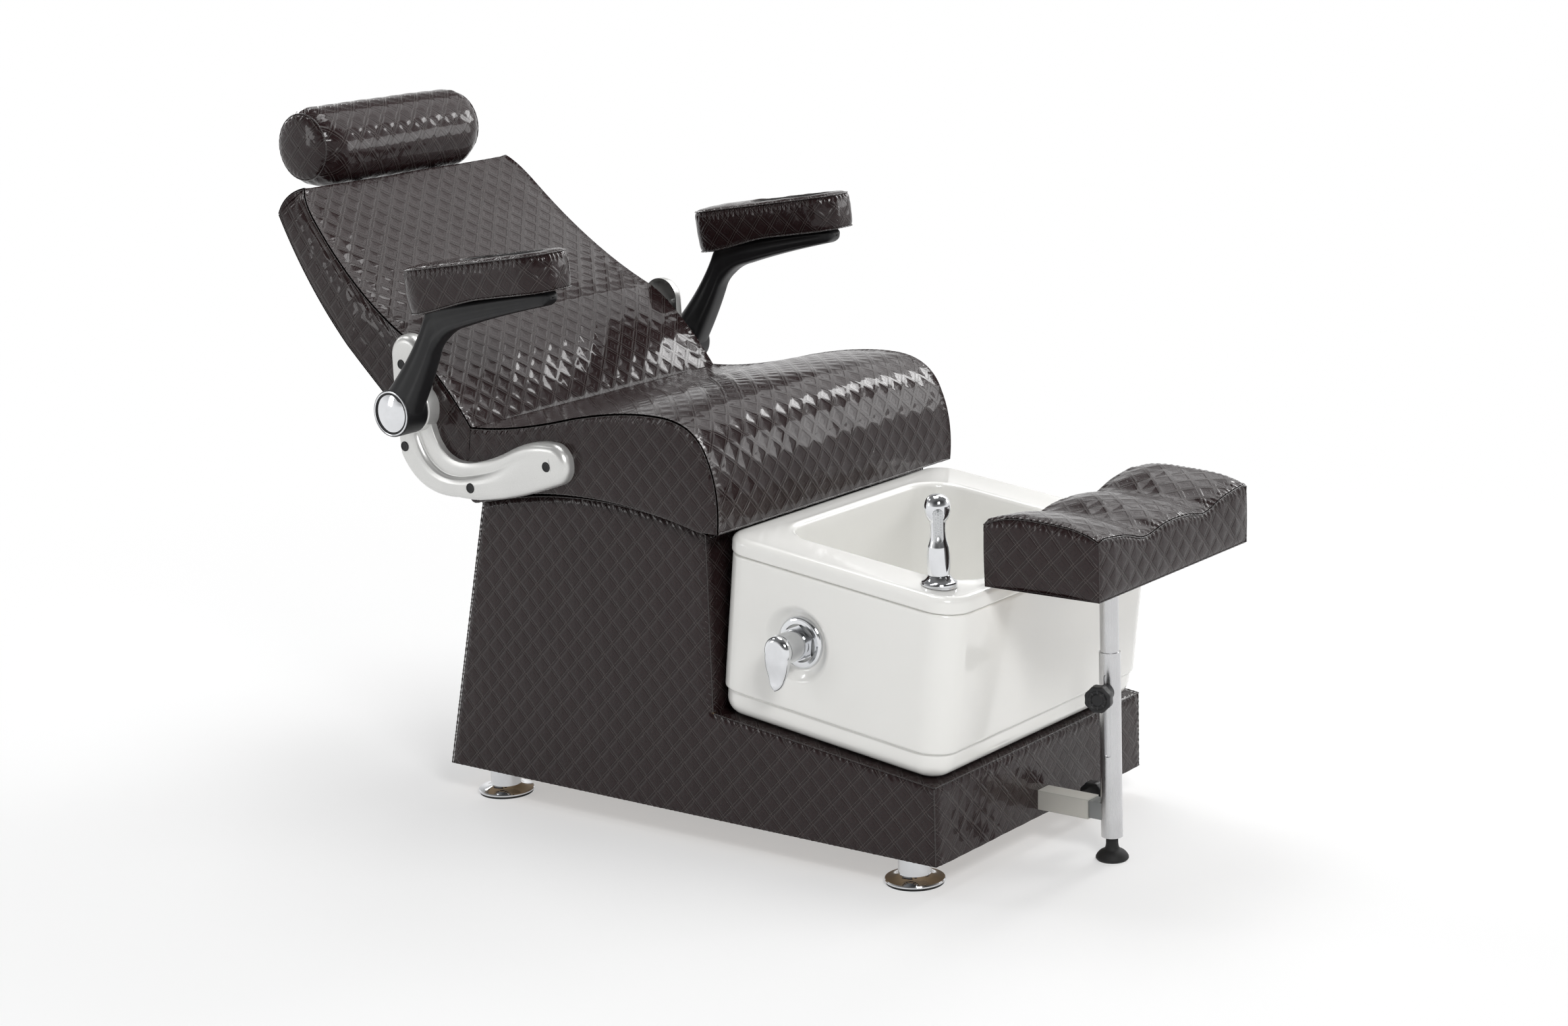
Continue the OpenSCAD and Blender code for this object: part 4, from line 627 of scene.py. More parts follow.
def cabinet():
    s = Shape()
    r = ROLL
    # side panels: U along Y, V along Z
    top = lambda y: np.where(y < RISER + r, deck_z(y) - r, arch_top(y) - r)
    U, V, keep = clamp_grid(r, LEN - r, LIFT, TOP + 29, lambda z: r, lambda z: rear_y(z) - r,
                            lambda y: LIFT + 0.5, top)
    # no cells across the riser's line above the deck; the strip below fills that gap
    step = (U[:-1, :-1] < RISER + r) & (U[1:, 1:] > RISER + r)
    keep = keep & ~(step & (V[1:, 1:] > deck_z(RISER)))
    e = np.minimum.reduce([
        U - r, (rear_y(V) - r - U) * 0.97, V - LIFT + 4,
        np.where(U < RISER + r, (deck_z(U) - r - V) * CT, 1e3),
        np.where(U >= RISER + r, arch_top(U) - r - V, 1e3),
        np.where(V > deck_z(RISER) - r, np.abs(U - RISER - r), 1e3),
        np.hypot(RISER + r - U, V - deck_z(RISER))])
    for sgn in (-1, 1):
        panel(s, U, V, keep,
              lambda a, b, o: join(sgn * (HALF + o), a, b), np.maximum(e, 0),
              flip=sgn > 0, seed=3 + sgn)
    # riser's side strip, so that the panel meets the riser exactly
    zz = steps(deck_z(RISER), float(arch_top(RISER)) - r)
    uu = np.array([RISER + r, math.ceil((RISER + r) / GRID) * GRID])
    A, B = grid(uu, zz)
    for sgn in (-1, 1):
        panel(s, A, B, None, lambda a, b, o: join(sgn * (HALF + o), a, b),
              np.maximum(A - RISER - r, 0), flip=sgn > 0, seed=3 + sgn)
    # front, deck, riser, rear: U along X, V along the profile
    def strip(p0, p1, nrm, seed, flat=None, lo=True, hi=True):
        p0, p1, nrm = (np.array(q, float) for q in (p0, p1, nrm))
        ln = float(np.linalg.norm(p1 - p0))
        d = (p1 - p0) / ln
        u_half = HALF - r
        A, B = grid(steps(-u_half, u_half), steps(0, ln))
        e = np.minimum.reduce([u_half - np.abs(A), B if lo else 1e3 + 0 * B,
                               ln - B if hi else 1e3 + 0 * B])
        relief = 0.85 * (np.ones_like(A) if flat is None else flat(A, B))
        panel(s, A, B, None, lambda a, b, o: np.stack(
            [a, p0[0] + d[0] * b + nrm[0] * o, p0[1] + d[1] * b + nrm[1] * o], -1),
            e, relief=relief, seed=seed)
    strip((0, LIFT + 0.5), (0, DECK0 - r), (-1, 0), 11, lo=False)
    strip((r * 0.8, DECK0), (RISER, deck_z(RISER)), (-ST, CT), 12,
          flat=lambda a, b: np.where((abs(a) < 274) & (b < 404), 0.0, 1.0), hi=False)
    strip((RISER, deck_z(RISER)), (RISER, TOP - r), (-1, 0), 13,
          flat=lambda a, b: np.where((abs(a) < 277) & (b < 268), 0.0, 1.0), lo=False)
    slope = math.atan(LEAN / (TOP - LIFT))
    strip((rear_y(TOP), TOP - r), (rear_y(LIFT) - 0.1, LIFT + 0.5),
          (math.cos(slope), math.sin(slope)), 14, hi=False)
    # top edge band between the side panels and the boards
    for sgn in (-1, 1):
        y = np.linspace(RISER, REAR_TOP, 160)
        z = arch_top(y) - r
        a = join(sgn * (HALF - r), y, z)
        b = join(sgn * (HALF - 8), y, z + 2.6)
        c = join(sgn * (HALF - 46), y, z + 2.8)
        s.add(np.stack([a, b, c]), np.stack([a[:, 1:], b[:, 1:] + [0, 6], c[:, 1:] + [0, 44]]),
              flip=sgn > 0)
    x = np.linspace(-HALF + r, HALF - r, 120)
    rows = [join(x, yy, zz) for yy, zz in
            ((rear_y(TOP) - 1.0, TOP - r), (REAR_TOP - 8, TOP + 0.8), (REAR_TOP - 44, TOP + 9.0))]
    s.add(np.stack(rows), np.stack([q[:, :2] for q in rows]))
    # bottom turn-under
    corners = np.array([[-1, 0], [1, 0], [1, 1], [-1, 1]], float)
    o, i = (corners * [HALF - d, LEN - 2 * d] + [0, d] for d in (1, 16))
    s.add(np.stack([lift(o, LIFT + 0.5), lift(i, LIFT - 0.5)]), np.stack([o, i]), close=True)
    # seams
    q, proud = HALF - r + 0.4, r - 1.6
    y = np.linspace(RISER, REAR_TOP, 150)
    for x in (-q, q):
        seam(s, [[x, r, LIFT + 1], [x, r - 0.4, DECK0 - r]], 1.1)
        seam(s, [[x, proud, DECK0 - proud], [x, RISER, deck_z(RISER) - proud]], 1.1)
        seam(s, [[x, RISER + proud, deck_z(RISER)], [x, RISER + proud, TOP - 1]], 1.1)
        seam(s, join(x, y, arch_top(y) - proud), 1.0)
        seam(s, [[x, rear_y(TOP) - proud, TOP - 1], [x, rear_y(LIFT) - proud, LIFT + 1]], 1.1)
    seam(s, [[-q, proud, DECK0 - proud], [q, proud, DECK0 - proud]], 1.1)
    s.build("cabinet_upholstery", [VINYL, WELT], "chair", ["base_skin"], "vinyl", pad=1.0)


cabinet()


# ---------------------------------------------------------------- seat
def swell3(s):
    return 1 - np.abs(s) ** 3


def hump(t):
    return np.maximum(0, np.sin(math.pi * np.clip(t, 0, 1))) ** 0.6


SEAT_HALF, NOSE_Y, CREST_Z, VALLEY_Z = 300, 364, 666, 614
LIP = float(seat_bottom(RISER))
SEAT = Curve(((NOSE_Y, LIP), (356, (LIP + CREST_Z) / 2 - 18), (378, 612), 7),
             ((378, 612), (398, 664), (470, CREST_Z), 6),
             ((470, CREST_Z), (540, 669), (640, (2 * CREST_Z + VALLEY_Z) / 3 - 2), 5),
             ((640, (2 * CREST_Z + VALLEY_Z) / 3 - 2), (VALLEY - 86, 615), (VALLEY, VALLEY_Z), 5))


def under_z(y):
    """The underside comes down to the cabinet's rear edge, where the bracket hides it."""
    y = np.asarray(y, float)
    z = np.where(y < REAR_TOP - 20, seat_bottom(y),
                 float(seat_bottom(REAR_TOP - 20)) + (y - REAR_TOP + 20) * 0.1)
    low = z - (z - arch_top(y) - 1.2) * smooth(y, 700, 830)
    return np.where(y < RISER, LIP, low + (504 - low) * smooth(y, 846, 864))


def under(i):
    y = 370 + (SPLIT - 370) * (i / 23) ** 1.5
    return y, under_z(y)


def seam_tuck(e, deep=1.7, wide=15.0):
    """A soft surface falls away towards a seam."""
    return -deep * (1 - np.clip(e / wide, 0, 1)) ** 2.2


def draw_in(e, deep=1.1, wide=8.0):
    """How far a panel's edge is drawn in, so that two panels meet in a soft round."""
    return deep * (1 - np.clip(e / wide, 0, 1)) ** 2


def inset(p, d):
    """A 2-D curve moved to its right by d."""
    t = np.gradient(p, axis=0)
    t /= np.maximum(np.linalg.norm(t, axis=1, keepdims=True), 1e-9)
    return p + d * join(t[:, 1], -t[:, 0])


def seat():
    s = Shape()
    half = SEAT_HALF
    u, v = steps(-half, half), steps(0, SEAT.len)
    U, V = grid(u, v)
    p = SEAT.at(V)
    i = SEAT.index(V)
    sx = U / half
    h = hump(i / 23) * swell3(sx)
    y = p[..., 0] - h * 5 * np.maximum(0, 1 - i / 10)
    z = p[..., 1] + h * 12
    P = join(U - np.sign(U) * draw_in(half - np.abs(U)), y, z)
    N = normals(join(U, y, z))
    e = np.minimum.reduce([half - np.abs(U), V + 14, SEAT.len - V + 12])
    out = seam_tuck(e) + 0.95 * emboss(U, V) * smooth(e, 3, 11)
    out += 0.7 * rumple(U, V, 120, 21) * smooth(e, 0, 60)
    # creases that run in from the side seams and across the valley
    out += 0.8 * np.sin(V * 0.145 + 2.2 * rumple(U, V, 60, 5)) \
        * smooth(half - np.abs(U), 2, 8) * (1 - smooth(half - np.abs(U), 12, 60)) \
        * (0.4 + 0.6 * smooth(V, SEAT.len * 0.62, SEAT.len))
    out += pucker(V, half - np.abs(U), 0.6)
    s.add(P + N * out[..., None], join(U, V))
    # sides
    f = np.linspace(0, SEAT.len, 300)
    top = SEAT.at(f)
    fi = SEAT.index(f)
    uy, uz = under(fi)
    low = join(uy, uz)
    n = 46
    t = np.linspace(0, 1, n)[:, None, None]
    edge = inset(top, 1.8)
    q = edge[None] * (1 - t) + low[None] * t
    ht = np.linalg.norm(top - low, axis=1)[None] * np.ones((n, 1))
    e = np.minimum.reduce([t[..., 0] * ht, (1 - t[..., 0]) * ht,
                           np.broadcast_to(f[None] * 0.6 + 2, ht.shape)])
    yy, zz = q[..., 0], q[..., 1]
    bulge = 3.0 * np.sin(math.pi * np.clip(t[..., 0], 0, 1)) ** 0.7 * np.clip(ht / 90, 0, 1)
    out = -draw_in(e) + 0.85 * emboss(yy, zz) * smooth(e, 2, 9) + bulge
    out += 0.5 * rumple(yy, zz, 80, 9)
    out += 0.7 * np.sin((yy + 0.6 * zz) * 0.21 + 2 * rumple(yy, zz, 50, 6)) \
        * (1 - smooth(t[..., 0] * ht, 6, 40)) * smooth(t[..., 0] * ht, 1, 5)
    out += pucker(yy + 0.6 * zz, t[..., 0] * ht, 0.6)
    # the panel lies flat under the brackets
    out -= 2.6 * smooth(yy, 600, 650) * bulge / 3.0
    for sgn in (-1, 1):
        x = sgn * (half + out)
        s.add(join(x, yy, zz), join(yy, zz), flip=sgn > 0)
        seam(s, join(sgn * (half - 1.1), edge[:, 0], edge[:, 1]), 0.8)
        seam(s, join(sgn * (half - 1.4), low[:, 0], low[:, 1] + 0.8), 1.1, step=4)
    # front lower edge, underside, rear face
    x = np.linspace(-half + 1.5, half - 1.5, 60)
    tube(s, [[a, NOSE_Y + 0.5, LIP + 0.5] for a in x], 1.6, wob=0.2)
    g = np.stack([join(x, y, LIP) for y in (NOSE_Y, RISER)])
    s.add(g, g[..., :2])
    yy = np.linspace(RISER, SPLIT, 50)
    zz = under_z(yy)
    X, Y = grid(x, yy)
    s.add(join(X, Y, zz), join(X, Y), flip=True)
    zr = np.linspace(zz[-1], VALLEY_Z, 12)
    yr = SPLIT + (VALLEY - SPLIT) * (zr - zr[0]) / (zr[-1] - zr[0])
    X, Z = grid(x, zr)
    s.add(join(X, yr, Z), join(X, Z), flip=True)
    s.build("seat_upholstery", [VINYL, WELT], "chair", ["seat_cushion"], "vinyl", pad=0.85)


seat()

# ---------------------------------------------------------------- back
BACK_RUN, BACK_RISE = 395.0, 346.0
B_TOP = np.array([VALLEY + BACK_RUN, VALLEY_Z + BACK_RISE])
T_DIR, T_UP = np.array([SQ2, -SQ2]), np.array([SQ2, SQ2])
B_REAR = B_TOP + T_DIR * 57
FRONT = Curve(((VALLEY + 0.4, VALLEY_Z), (VALLEY + 57, 691), (VALLEY + 127, 742), 8),
              ((VALLEY + 127, 742), (VALLEY + 0.68 * BACK_RUN, VALLEY_Z + 0.565 * BACK_RISE),
               B_TOP, 13),
              (B_TOP, (B_TOP + B_REAR) / 2 + T_UP * 20, B_REAR, 5))
LOW = np.array([SPLIT + 0.4, float(seat_bottom(REAR_TOP)) + 8])
KNEE = np.array([B_REAR[0] - 175, B_REAR[1] - 194])
REAR = Curve((LOW, (LOW + KNEE) / 2 + [4, -6], KNEE, 12), (KNEE, B_REAR - [76, 109], B_REAR, 13))
_lean = math.atan(BACK_RUN / BACK_RISE)
B_N = np.array([-math.cos(_lean), math.sin(_lean)])


def back_half(z):
    """Half the back's width, with its top corners rounded off."""
    z = np.asarray(z, float)
    k = np.clip((z - 908) / 58, 0, 1)
    return np.interp(z, [725, 960], [300, 256]) - 30 * (1 - np.sqrt(np.maximum(0, 1 - k ** 2.4)))


def back():
    s = Shape()
    for curve, rear in ((FRONT, False), (REAR, True)):
        U, V = grid(steps(-SEAT_HALF, SEAT_HALF), steps(0, curve.len))
        p = curve.at(V)
        half = back_half(p[..., 1])
        Uc = np.clip(U, -half, half)
        sx = Uc / half
        i = curve.index(V)
        if rear:
            y, z = p[..., 0], p[..., 1]
            bulge = 5 * hump(V / curve.len) * swell3(sx)
            y, z = y + bulge * 0.75, z - bulge * 0.66
        else:
            k = hump(np.minimum(1, i / 21)) * swell3(sx) * 12
            y, z = p[..., 0] + B_N[0] * k, p[..., 1] + B_N[1] * k
        P = join(Uc - np.sign(Uc) * draw_in(half - np.abs(Uc)), y, z)
        N = normals(join(U, y, z)) * (-1 if rear else 1)
        e = np.minimum.reduce([half - np.abs(Uc), V + 12, curve.len - V + (8 if rear else 12)])
        e = np.maximum(e, 0)
        out = seam_tuck(e) + 0.95 * emboss(Uc, V) * smooth(e, 3, 11)
        out += 0.7 * rumple(Uc, V, 130, 31 + rear) * smooth(e, 0, 60)
        side = half - np.abs(Uc)
        out += 0.8 * np.sin(V * 0.15 + 2.2 * rumple(Uc, V, 60, 8)) * smooth(side, 2, 8) \
            * (1 - smooth(side, 12, 60)) * (1 - 0.6 * smooth(V, 120, 300)) + pucker(V, side, 0.6)
        cell = (np.abs(Uc[1:, 1:] - Uc[:-1, :-1]) > 0.02) \
            | (np.abs(Uc[:-1, 1:] - Uc[1:, :-1]) > 0.02)
        s.add(P + N * out[..., None], join(Uc, V), cell, flip=rear)
    n, m = 300, 46
    f = np.linspace(0, 1, n)
    a = FRONT.at(f * (FRONT.s[np.searchsorted(FRONT.i, 21)]))
    b = REAR.at(f * REAR.len)
    a, b = inset(a, 1.8), inset(b, -1.8)
    # both curves end below the rounded top, which has a web of its own
    t = np.linspace(0, 1, m)[:, None]
    ya, za = a[:, 0][None], a[:, 1][None]
    yb, zb = b[:, 0][None], b[:, 1][None]
    Y, Z = ya * (1 - t) + yb * t, za * (1 - t) + zb * t
    X = back_half(za) * (1 - t) + back_half(zb) * t
    ht = np.hypot(ya - yb, za - zb) * np.ones_like(Y)
    e = np.minimum.reduce([t * ht, (1 - t) * ht, np.broadcast_to(f[None] * 400 + 2, ht.shape),
                           np.broadcast_to((1 - f[None]) * 400 + 4, ht.shape)])
    bulge = 3.0 * np.sin(math.pi * t) ** 0.7 * np.clip(ht / 90, 0, 1)
    out = -draw_in(e) + 0.85 * emboss(Y, Z) * smooth(e, 2, 9)
    out += bulge * smooth(Z, 735, 800) + 0.5 * rumple(Y, Z, 80, 19)
    out += 0.8 * np.sin((Y - Z) * 0.17 + 2 * rumple(Y, Z, 50, 16)) * (1 - smooth(t * ht, 6, 45)) \
        * smooth(t * ht, 1, 5) + pucker(Y - Z, t * ht, 0.6)
    top_curve = Curve((B_TOP, (B_TOP + B_REAR) / 2 + T_UP * 20, B_REAR, 5))
    for sgn in (-1, 1):
        s.add(join(sgn * (X + out), Y, Z), join(Y, Z), flip=sgn > 0)
        g = np.linspace(0, FRONT.len, 260)
        for q, r in ((inset(FRONT.at(g), 1.8), 0.8),
                     (inset(REAR.at(np.linspace(0, REAR.len, 200)), -1.8), 1.0)):
            hx = back_half(q[:, 1]) - 1.1
            seam(s, join(sgn * hx, q[:, 0], q[:, 1]), r, 0.2)
        # small end web under the top round
        c = top_curve.at(np.linspace(0, top_curve.len, 14))
        line = B_TOP[None] + (B_REAR - B_TOP)[None] * np.linspace(0, 1, 14)[:, None]
        w = np.stack([c, line])
        hx = back_half(w[..., 1]) - 0.9
        s.add(join(sgn * hx, w[..., 0], w[..., 1]), w, flip=sgn > 0)
    x = np.linspace(-298, 298, 60)
    zr = np.linspace(LOW[1], VALLEY_Z, 12)
    yr = SPLIT + 0.4 + (VALLEY - SPLIT) * (zr - zr[0]) / (zr[-1] - zr[0])
    X, Z = grid(x, zr)
    s.add(join(X, yr, Z), join(X, Z))
    s.build("back_upholstery", [VINYL, WELT], "chair", ["back_cushion"], "vinyl", pad=0.85)


back()

# ---------------------------------------------------------------- headrest roll
ROLL_R, ROLL_HALF = 62.0, 180.0
ROD_IN = B_TOP + T_DIR * 28.5
ROLL_C = ROD_IN + T_UP * 84 - T_DIR * 27


def headrest():
    s = Shape()
    R, half = ROLL_R, ROLL_HALF
    n = 147          # lattice steps round the roll
    ang = circle(n)
    arc = ang * (n * GRID / (2 * math.pi))
    U, A = grid(steps(-half, half), ang)
    V = np.broadcast_to(arc, U.shape)
    e = half - np.abs(U)
    sag = 0.9 * (1 - (U / half) ** 2)
    rest = math.atan2(-T_UP[1], -T_UP[0])
    near = np.maximum(0, np.cos(A - rest)) ** 2
    r = R - 1.2 + sag + seam_tuck(e, 8.0, 24) + 0.9 * emboss(U, V) * smooth(e, 3, 11)
    r += 10.5 * near * smooth(e, 0, 40) + 1.5
    r += 0.6 * rumple(U, R * np.sin(A), 90, 41) + 0.5 * np.sin(A * 22 + rumple(U, V, 60, 4)) \
        * (1 - smooth(e, 4, 40))
    s.add(join(U, ROLL_C[0] + r * np.cos(A), ROLL_C[1] + r * np.sin(A)),
          join(U, V), close=True, flip=True)
    # domed ends with gathers at the seam
    for sgn in (-1, 1):
        q = np.linspace(1, 0.02, 26)
        Q, A = grid(q, ang)
        rr = Q * (R - 8.0)
        dome = 11 * np.sqrt(np.clip(1 - Q ** 2.2, 0, 1))
        gather = 0.7 * np.sin(A * 26 + 1.2 * np.sin(A * 5)) * smooth(Q, 0.62, 0.97)
        yy, zz = rr * np.cos(A), rr * np.sin(A)
        x = half - 0.6 + dome + gather * 0.6 + 0.55 * emboss(yy, zz) * (1 - smooth(Q, 0.75, 0.95))
        s.add(join(sgn * x, ROLL_C[0] + yy, ROLL_C[1] + zz), join(yy, zz),
              close=True, flip=sgn > 0)
        ring = join(sgn * (half - 0.2), ROLL_C[0] + (R - 7.6) * np.cos(ang),
                    ROLL_C[1] + (R - 7.6) * np.sin(ang))
        tube(s, ring, 1.3, wob=0.12, closed=True)
    s.build("headrest_upholstery", [VINYL, WELT], "headrest", ["headrest_roll"], "vinyl", pad=0.9)


headrest()

# ---------------------------------------------------------------- legrest
LEG_Y = -137.07869


LEG_HX, LEG_HY, LEG_LOW = 205, 95, 453


def leg_narrow(y):
    """The legrest's width narrows a little in its middle."""
    return 1 - 0.025 * (1 - (y / LEG_HY) ** 2)


def leg_z(x, y):
    """Height of the top: two calf channels, falling towards the edges."""
    ex = LEG_HX - np.abs(x)
    channels = 91 - 12 * (1 - (x / LEG_HX) ** 2) - 11 * np.exp(-((np.abs(x) - 82) / 38) ** 2)
    return 452 + channels + 15 * (1 - np.abs(y / LEG_HY) ** 3.2) \
        + 6 * smooth(y, -LEG_HY, LEG_HY) - 6 * (1 - np.clip(ex / 20, 0, 1)) ** 2.2


def leg_wall(s, p0, p1, n_out, seed, full):
    """A side wall from p0 to p1, bulging by full."""
    p0, p1 = np.array(p0, float), np.array(p1, float)
    ln = float(np.linalg.norm(p1 - p0))
    A, T = grid(np.linspace(0, 1, max(8, int(ln / GRID))), np.linspace(0, 1, 40))
    x, y = (p0[k] + (p1[k] - p0[k]) * A for k in (0, 1))
    zt = leg_z(x, y) - 2.2
    z = zt + (LEG_LOW - zt) * T
    h = zt - LEG_LOW
    ends = np.minimum(A, 1 - A) * ln
    e = np.minimum.reduce([T * h, (1 - T) * h, ends])
    along = A * ln - ln / 2
    out = -draw_in(e, 1.2, 8) + 0.85 * emboss(along, z) * smooth(e, 2, 9)
    out += full * np.sin(math.pi * T) ** 0.8 * (0.25 + 0.75 * smooth(ends, 0, 40))
    out += 0.4 * rumple(along, z, 60, seed) * smooth(e, 0, 9) + pucker(along, T * h, 0.7)
    s.add(join(x * leg_narrow(y) + n_out[0] * out, LEG_Y + y + n_out[1] * out, z),
          join(along, z))


def legrest():
    s = Shape()
    hx, hy = LEG_HX, LEG_HY
    U, V = grid(steps(-hx, hx), steps(-hy, hy))
    k = leg_narrow(V)
    z = leg_z(U, V)
    ex, ey = hx - np.abs(U), hy - np.abs(V)
    P = join(U * k - np.sign(U) * draw_in(ex, 1.2), LEG_Y + V - np.sign(V) * draw_in(ey, 1.2), z)
    N = normals(join(U * k, LEG_Y + V, z))
    e = np.minimum(ex, ey)
    out = seam_tuck(e, 1.4) + 0.9 * emboss(U, V) * smooth(e, 3, 11) \
        + 0.5 * rumple(U, V, 80, 51) * smooth(e, 0, 9)
    out += 0.7 * np.sin(U * 0.2 + 2 * rumple(U, V, 50, 52)) * smooth(ey, 2, 7) \
        * (1 - smooth(ey, 9, 36))
    out += pucker(U, ey, 0.7) + pucker(V, ex, 0.7)
    s.add(P + N * out[..., None], join(U, V))
    leg_wall(s, (-hx, -hy), (hx, -hy), (0, -1), 61, 3.0)
    leg_wall(s, (hx, -hy), (hx, hy), (1, 0), 62, 7.0)
    leg_wall(s, (hx, hy), (-hx, hy), (0, 1), 63, 2.0)
    leg_wall(s, (-hx, hy), (-hx, -hy), (-1, 0), 64, 7.0)
    # seams: top edge and lower edge all round, four corners
    corners = np.array([[-1, -1], [1, -1], [1, 1], [-1, 1]], float)
    c = corners * [204, 94.5]
    t = np.linspace(0, 1, 90, endpoint=False)[:, None]
    p = np.concatenate([a + (b - a) * t for a, b in zip(c, np.roll(c, -1, 0))])
    x, y = p[:, 0] * leg_narrow(p[:, 1]), LEG_Y + p[:, 1]
    tube(s, join(x, y, leg_z(p[:, 0], p[:, 1]) - 1.3), 1.0, wob=0.3, closed=True)
    tube(s, join(x, y, LEG_LOW + 0.2), 0.8, wob=0.2, closed=True)
    for x, y in c:
        seam(s, [[x, LEG_Y + y, LEG_LOW], [x, LEG_Y + y, float(leg_z(x, y))]], 0.8)
    # turn-under
    o, i = corners * [204, 94], corners * [190, 80]
    s.add(np.stack([lift(q + [0, LEG_Y], 452.5) for q in (o, i)]), np.stack([o, i]), close=True)
    s.build("legrest_upholstery", [VINYL, WELT], "legrest", ["legrest_cushion"], "vinyl", pad=0.85)


legrest()

# ---------------------------------------------------------------- arm pads
HUB = np.array([VALLEY + 100.0, 640.0])
PAD_X = (325.3 + 5 + 371.3) / 2
PAD_LEN, PAD_T = 296, 58
PAD_REAR, PAD_RISE, PAD_TILT = 58, 172.5, rad(8.3)   # its rear end from the hub
TRAY_Y, TRAY_L, TRAY_W = PAD_LEN * 0.66, 150, 54


def pad_half(sv):
    d = np.maximum(0, 46 - (1 - np.abs(sv)) * 148)
    return 47 - 2.5 * (1 - sv ** 2) - 36.8 + 0.8 * np.sqrt(np.maximum(0, 46 * 46 - d * d))


def at_pad(p):
    """Pad frame to the chair, on the sitter's right."""
    p = np.asarray(p, float)
    a = PAD_TILT
    y = p[..., 1] * math.cos(a) - p[..., 2] * math.sin(a)
    z = p[..., 1] * math.sin(a) + p[..., 2] * math.cos(a)
    return join(-PAD_X - p[..., 0], HUB[0] - PAD_REAR - y, HUB[1] + PAD_RISE + z)


def pad_ring(n):
    """Pad outline, evenly walked, from the rear end's middle round the +x side."""
    t = np.linspace(-1, 1, 1500)
    yy = (1 + t) * PAD_LEN / 2
    right = join(pad_half(t), yy)
    left = join(-pad_half(t), yy)[::-1]
    p = np.concatenate([[[0, 0]], right, [[0, PAD_LEN]], left, [[0, 0]]])
    s = walk(p)
    return pick(p, s, np.linspace(0, s[-1], n, endpoint=False)), s[-1]


def tray_ring(n, grow=0.0):
    """Stadium outline matched to the pad outline by its share of the way round."""
    w = TRAY_W / 2 + grow
    a = (TRAY_L - TRAY_W) / 2
    t = np.linspace(-math.pi / 2, 1.5 * math.pi, 2001)
    x, y = w * np.cos(t), w * np.sin(t)
    y = y + np.where(np.sin(t) >= 0, a, -a) + TRAY_Y
    p = join(x, y)
    s = walk(p)
    return pick(p, s, np.linspace(0, s[-1], n, endpoint=False))


def pad_top(x, y):
    sv = 2 * y / PAD_LEN - 1
    u = x / np.maximum(pad_half(np.clip(sv, -1, 1)), 1)
    return PAD_T + 5 * (1 - np.minimum(1, np.abs(u)) ** 2.5) * (1 - np.abs(np.clip(sv, -1, 1)) ** 6)


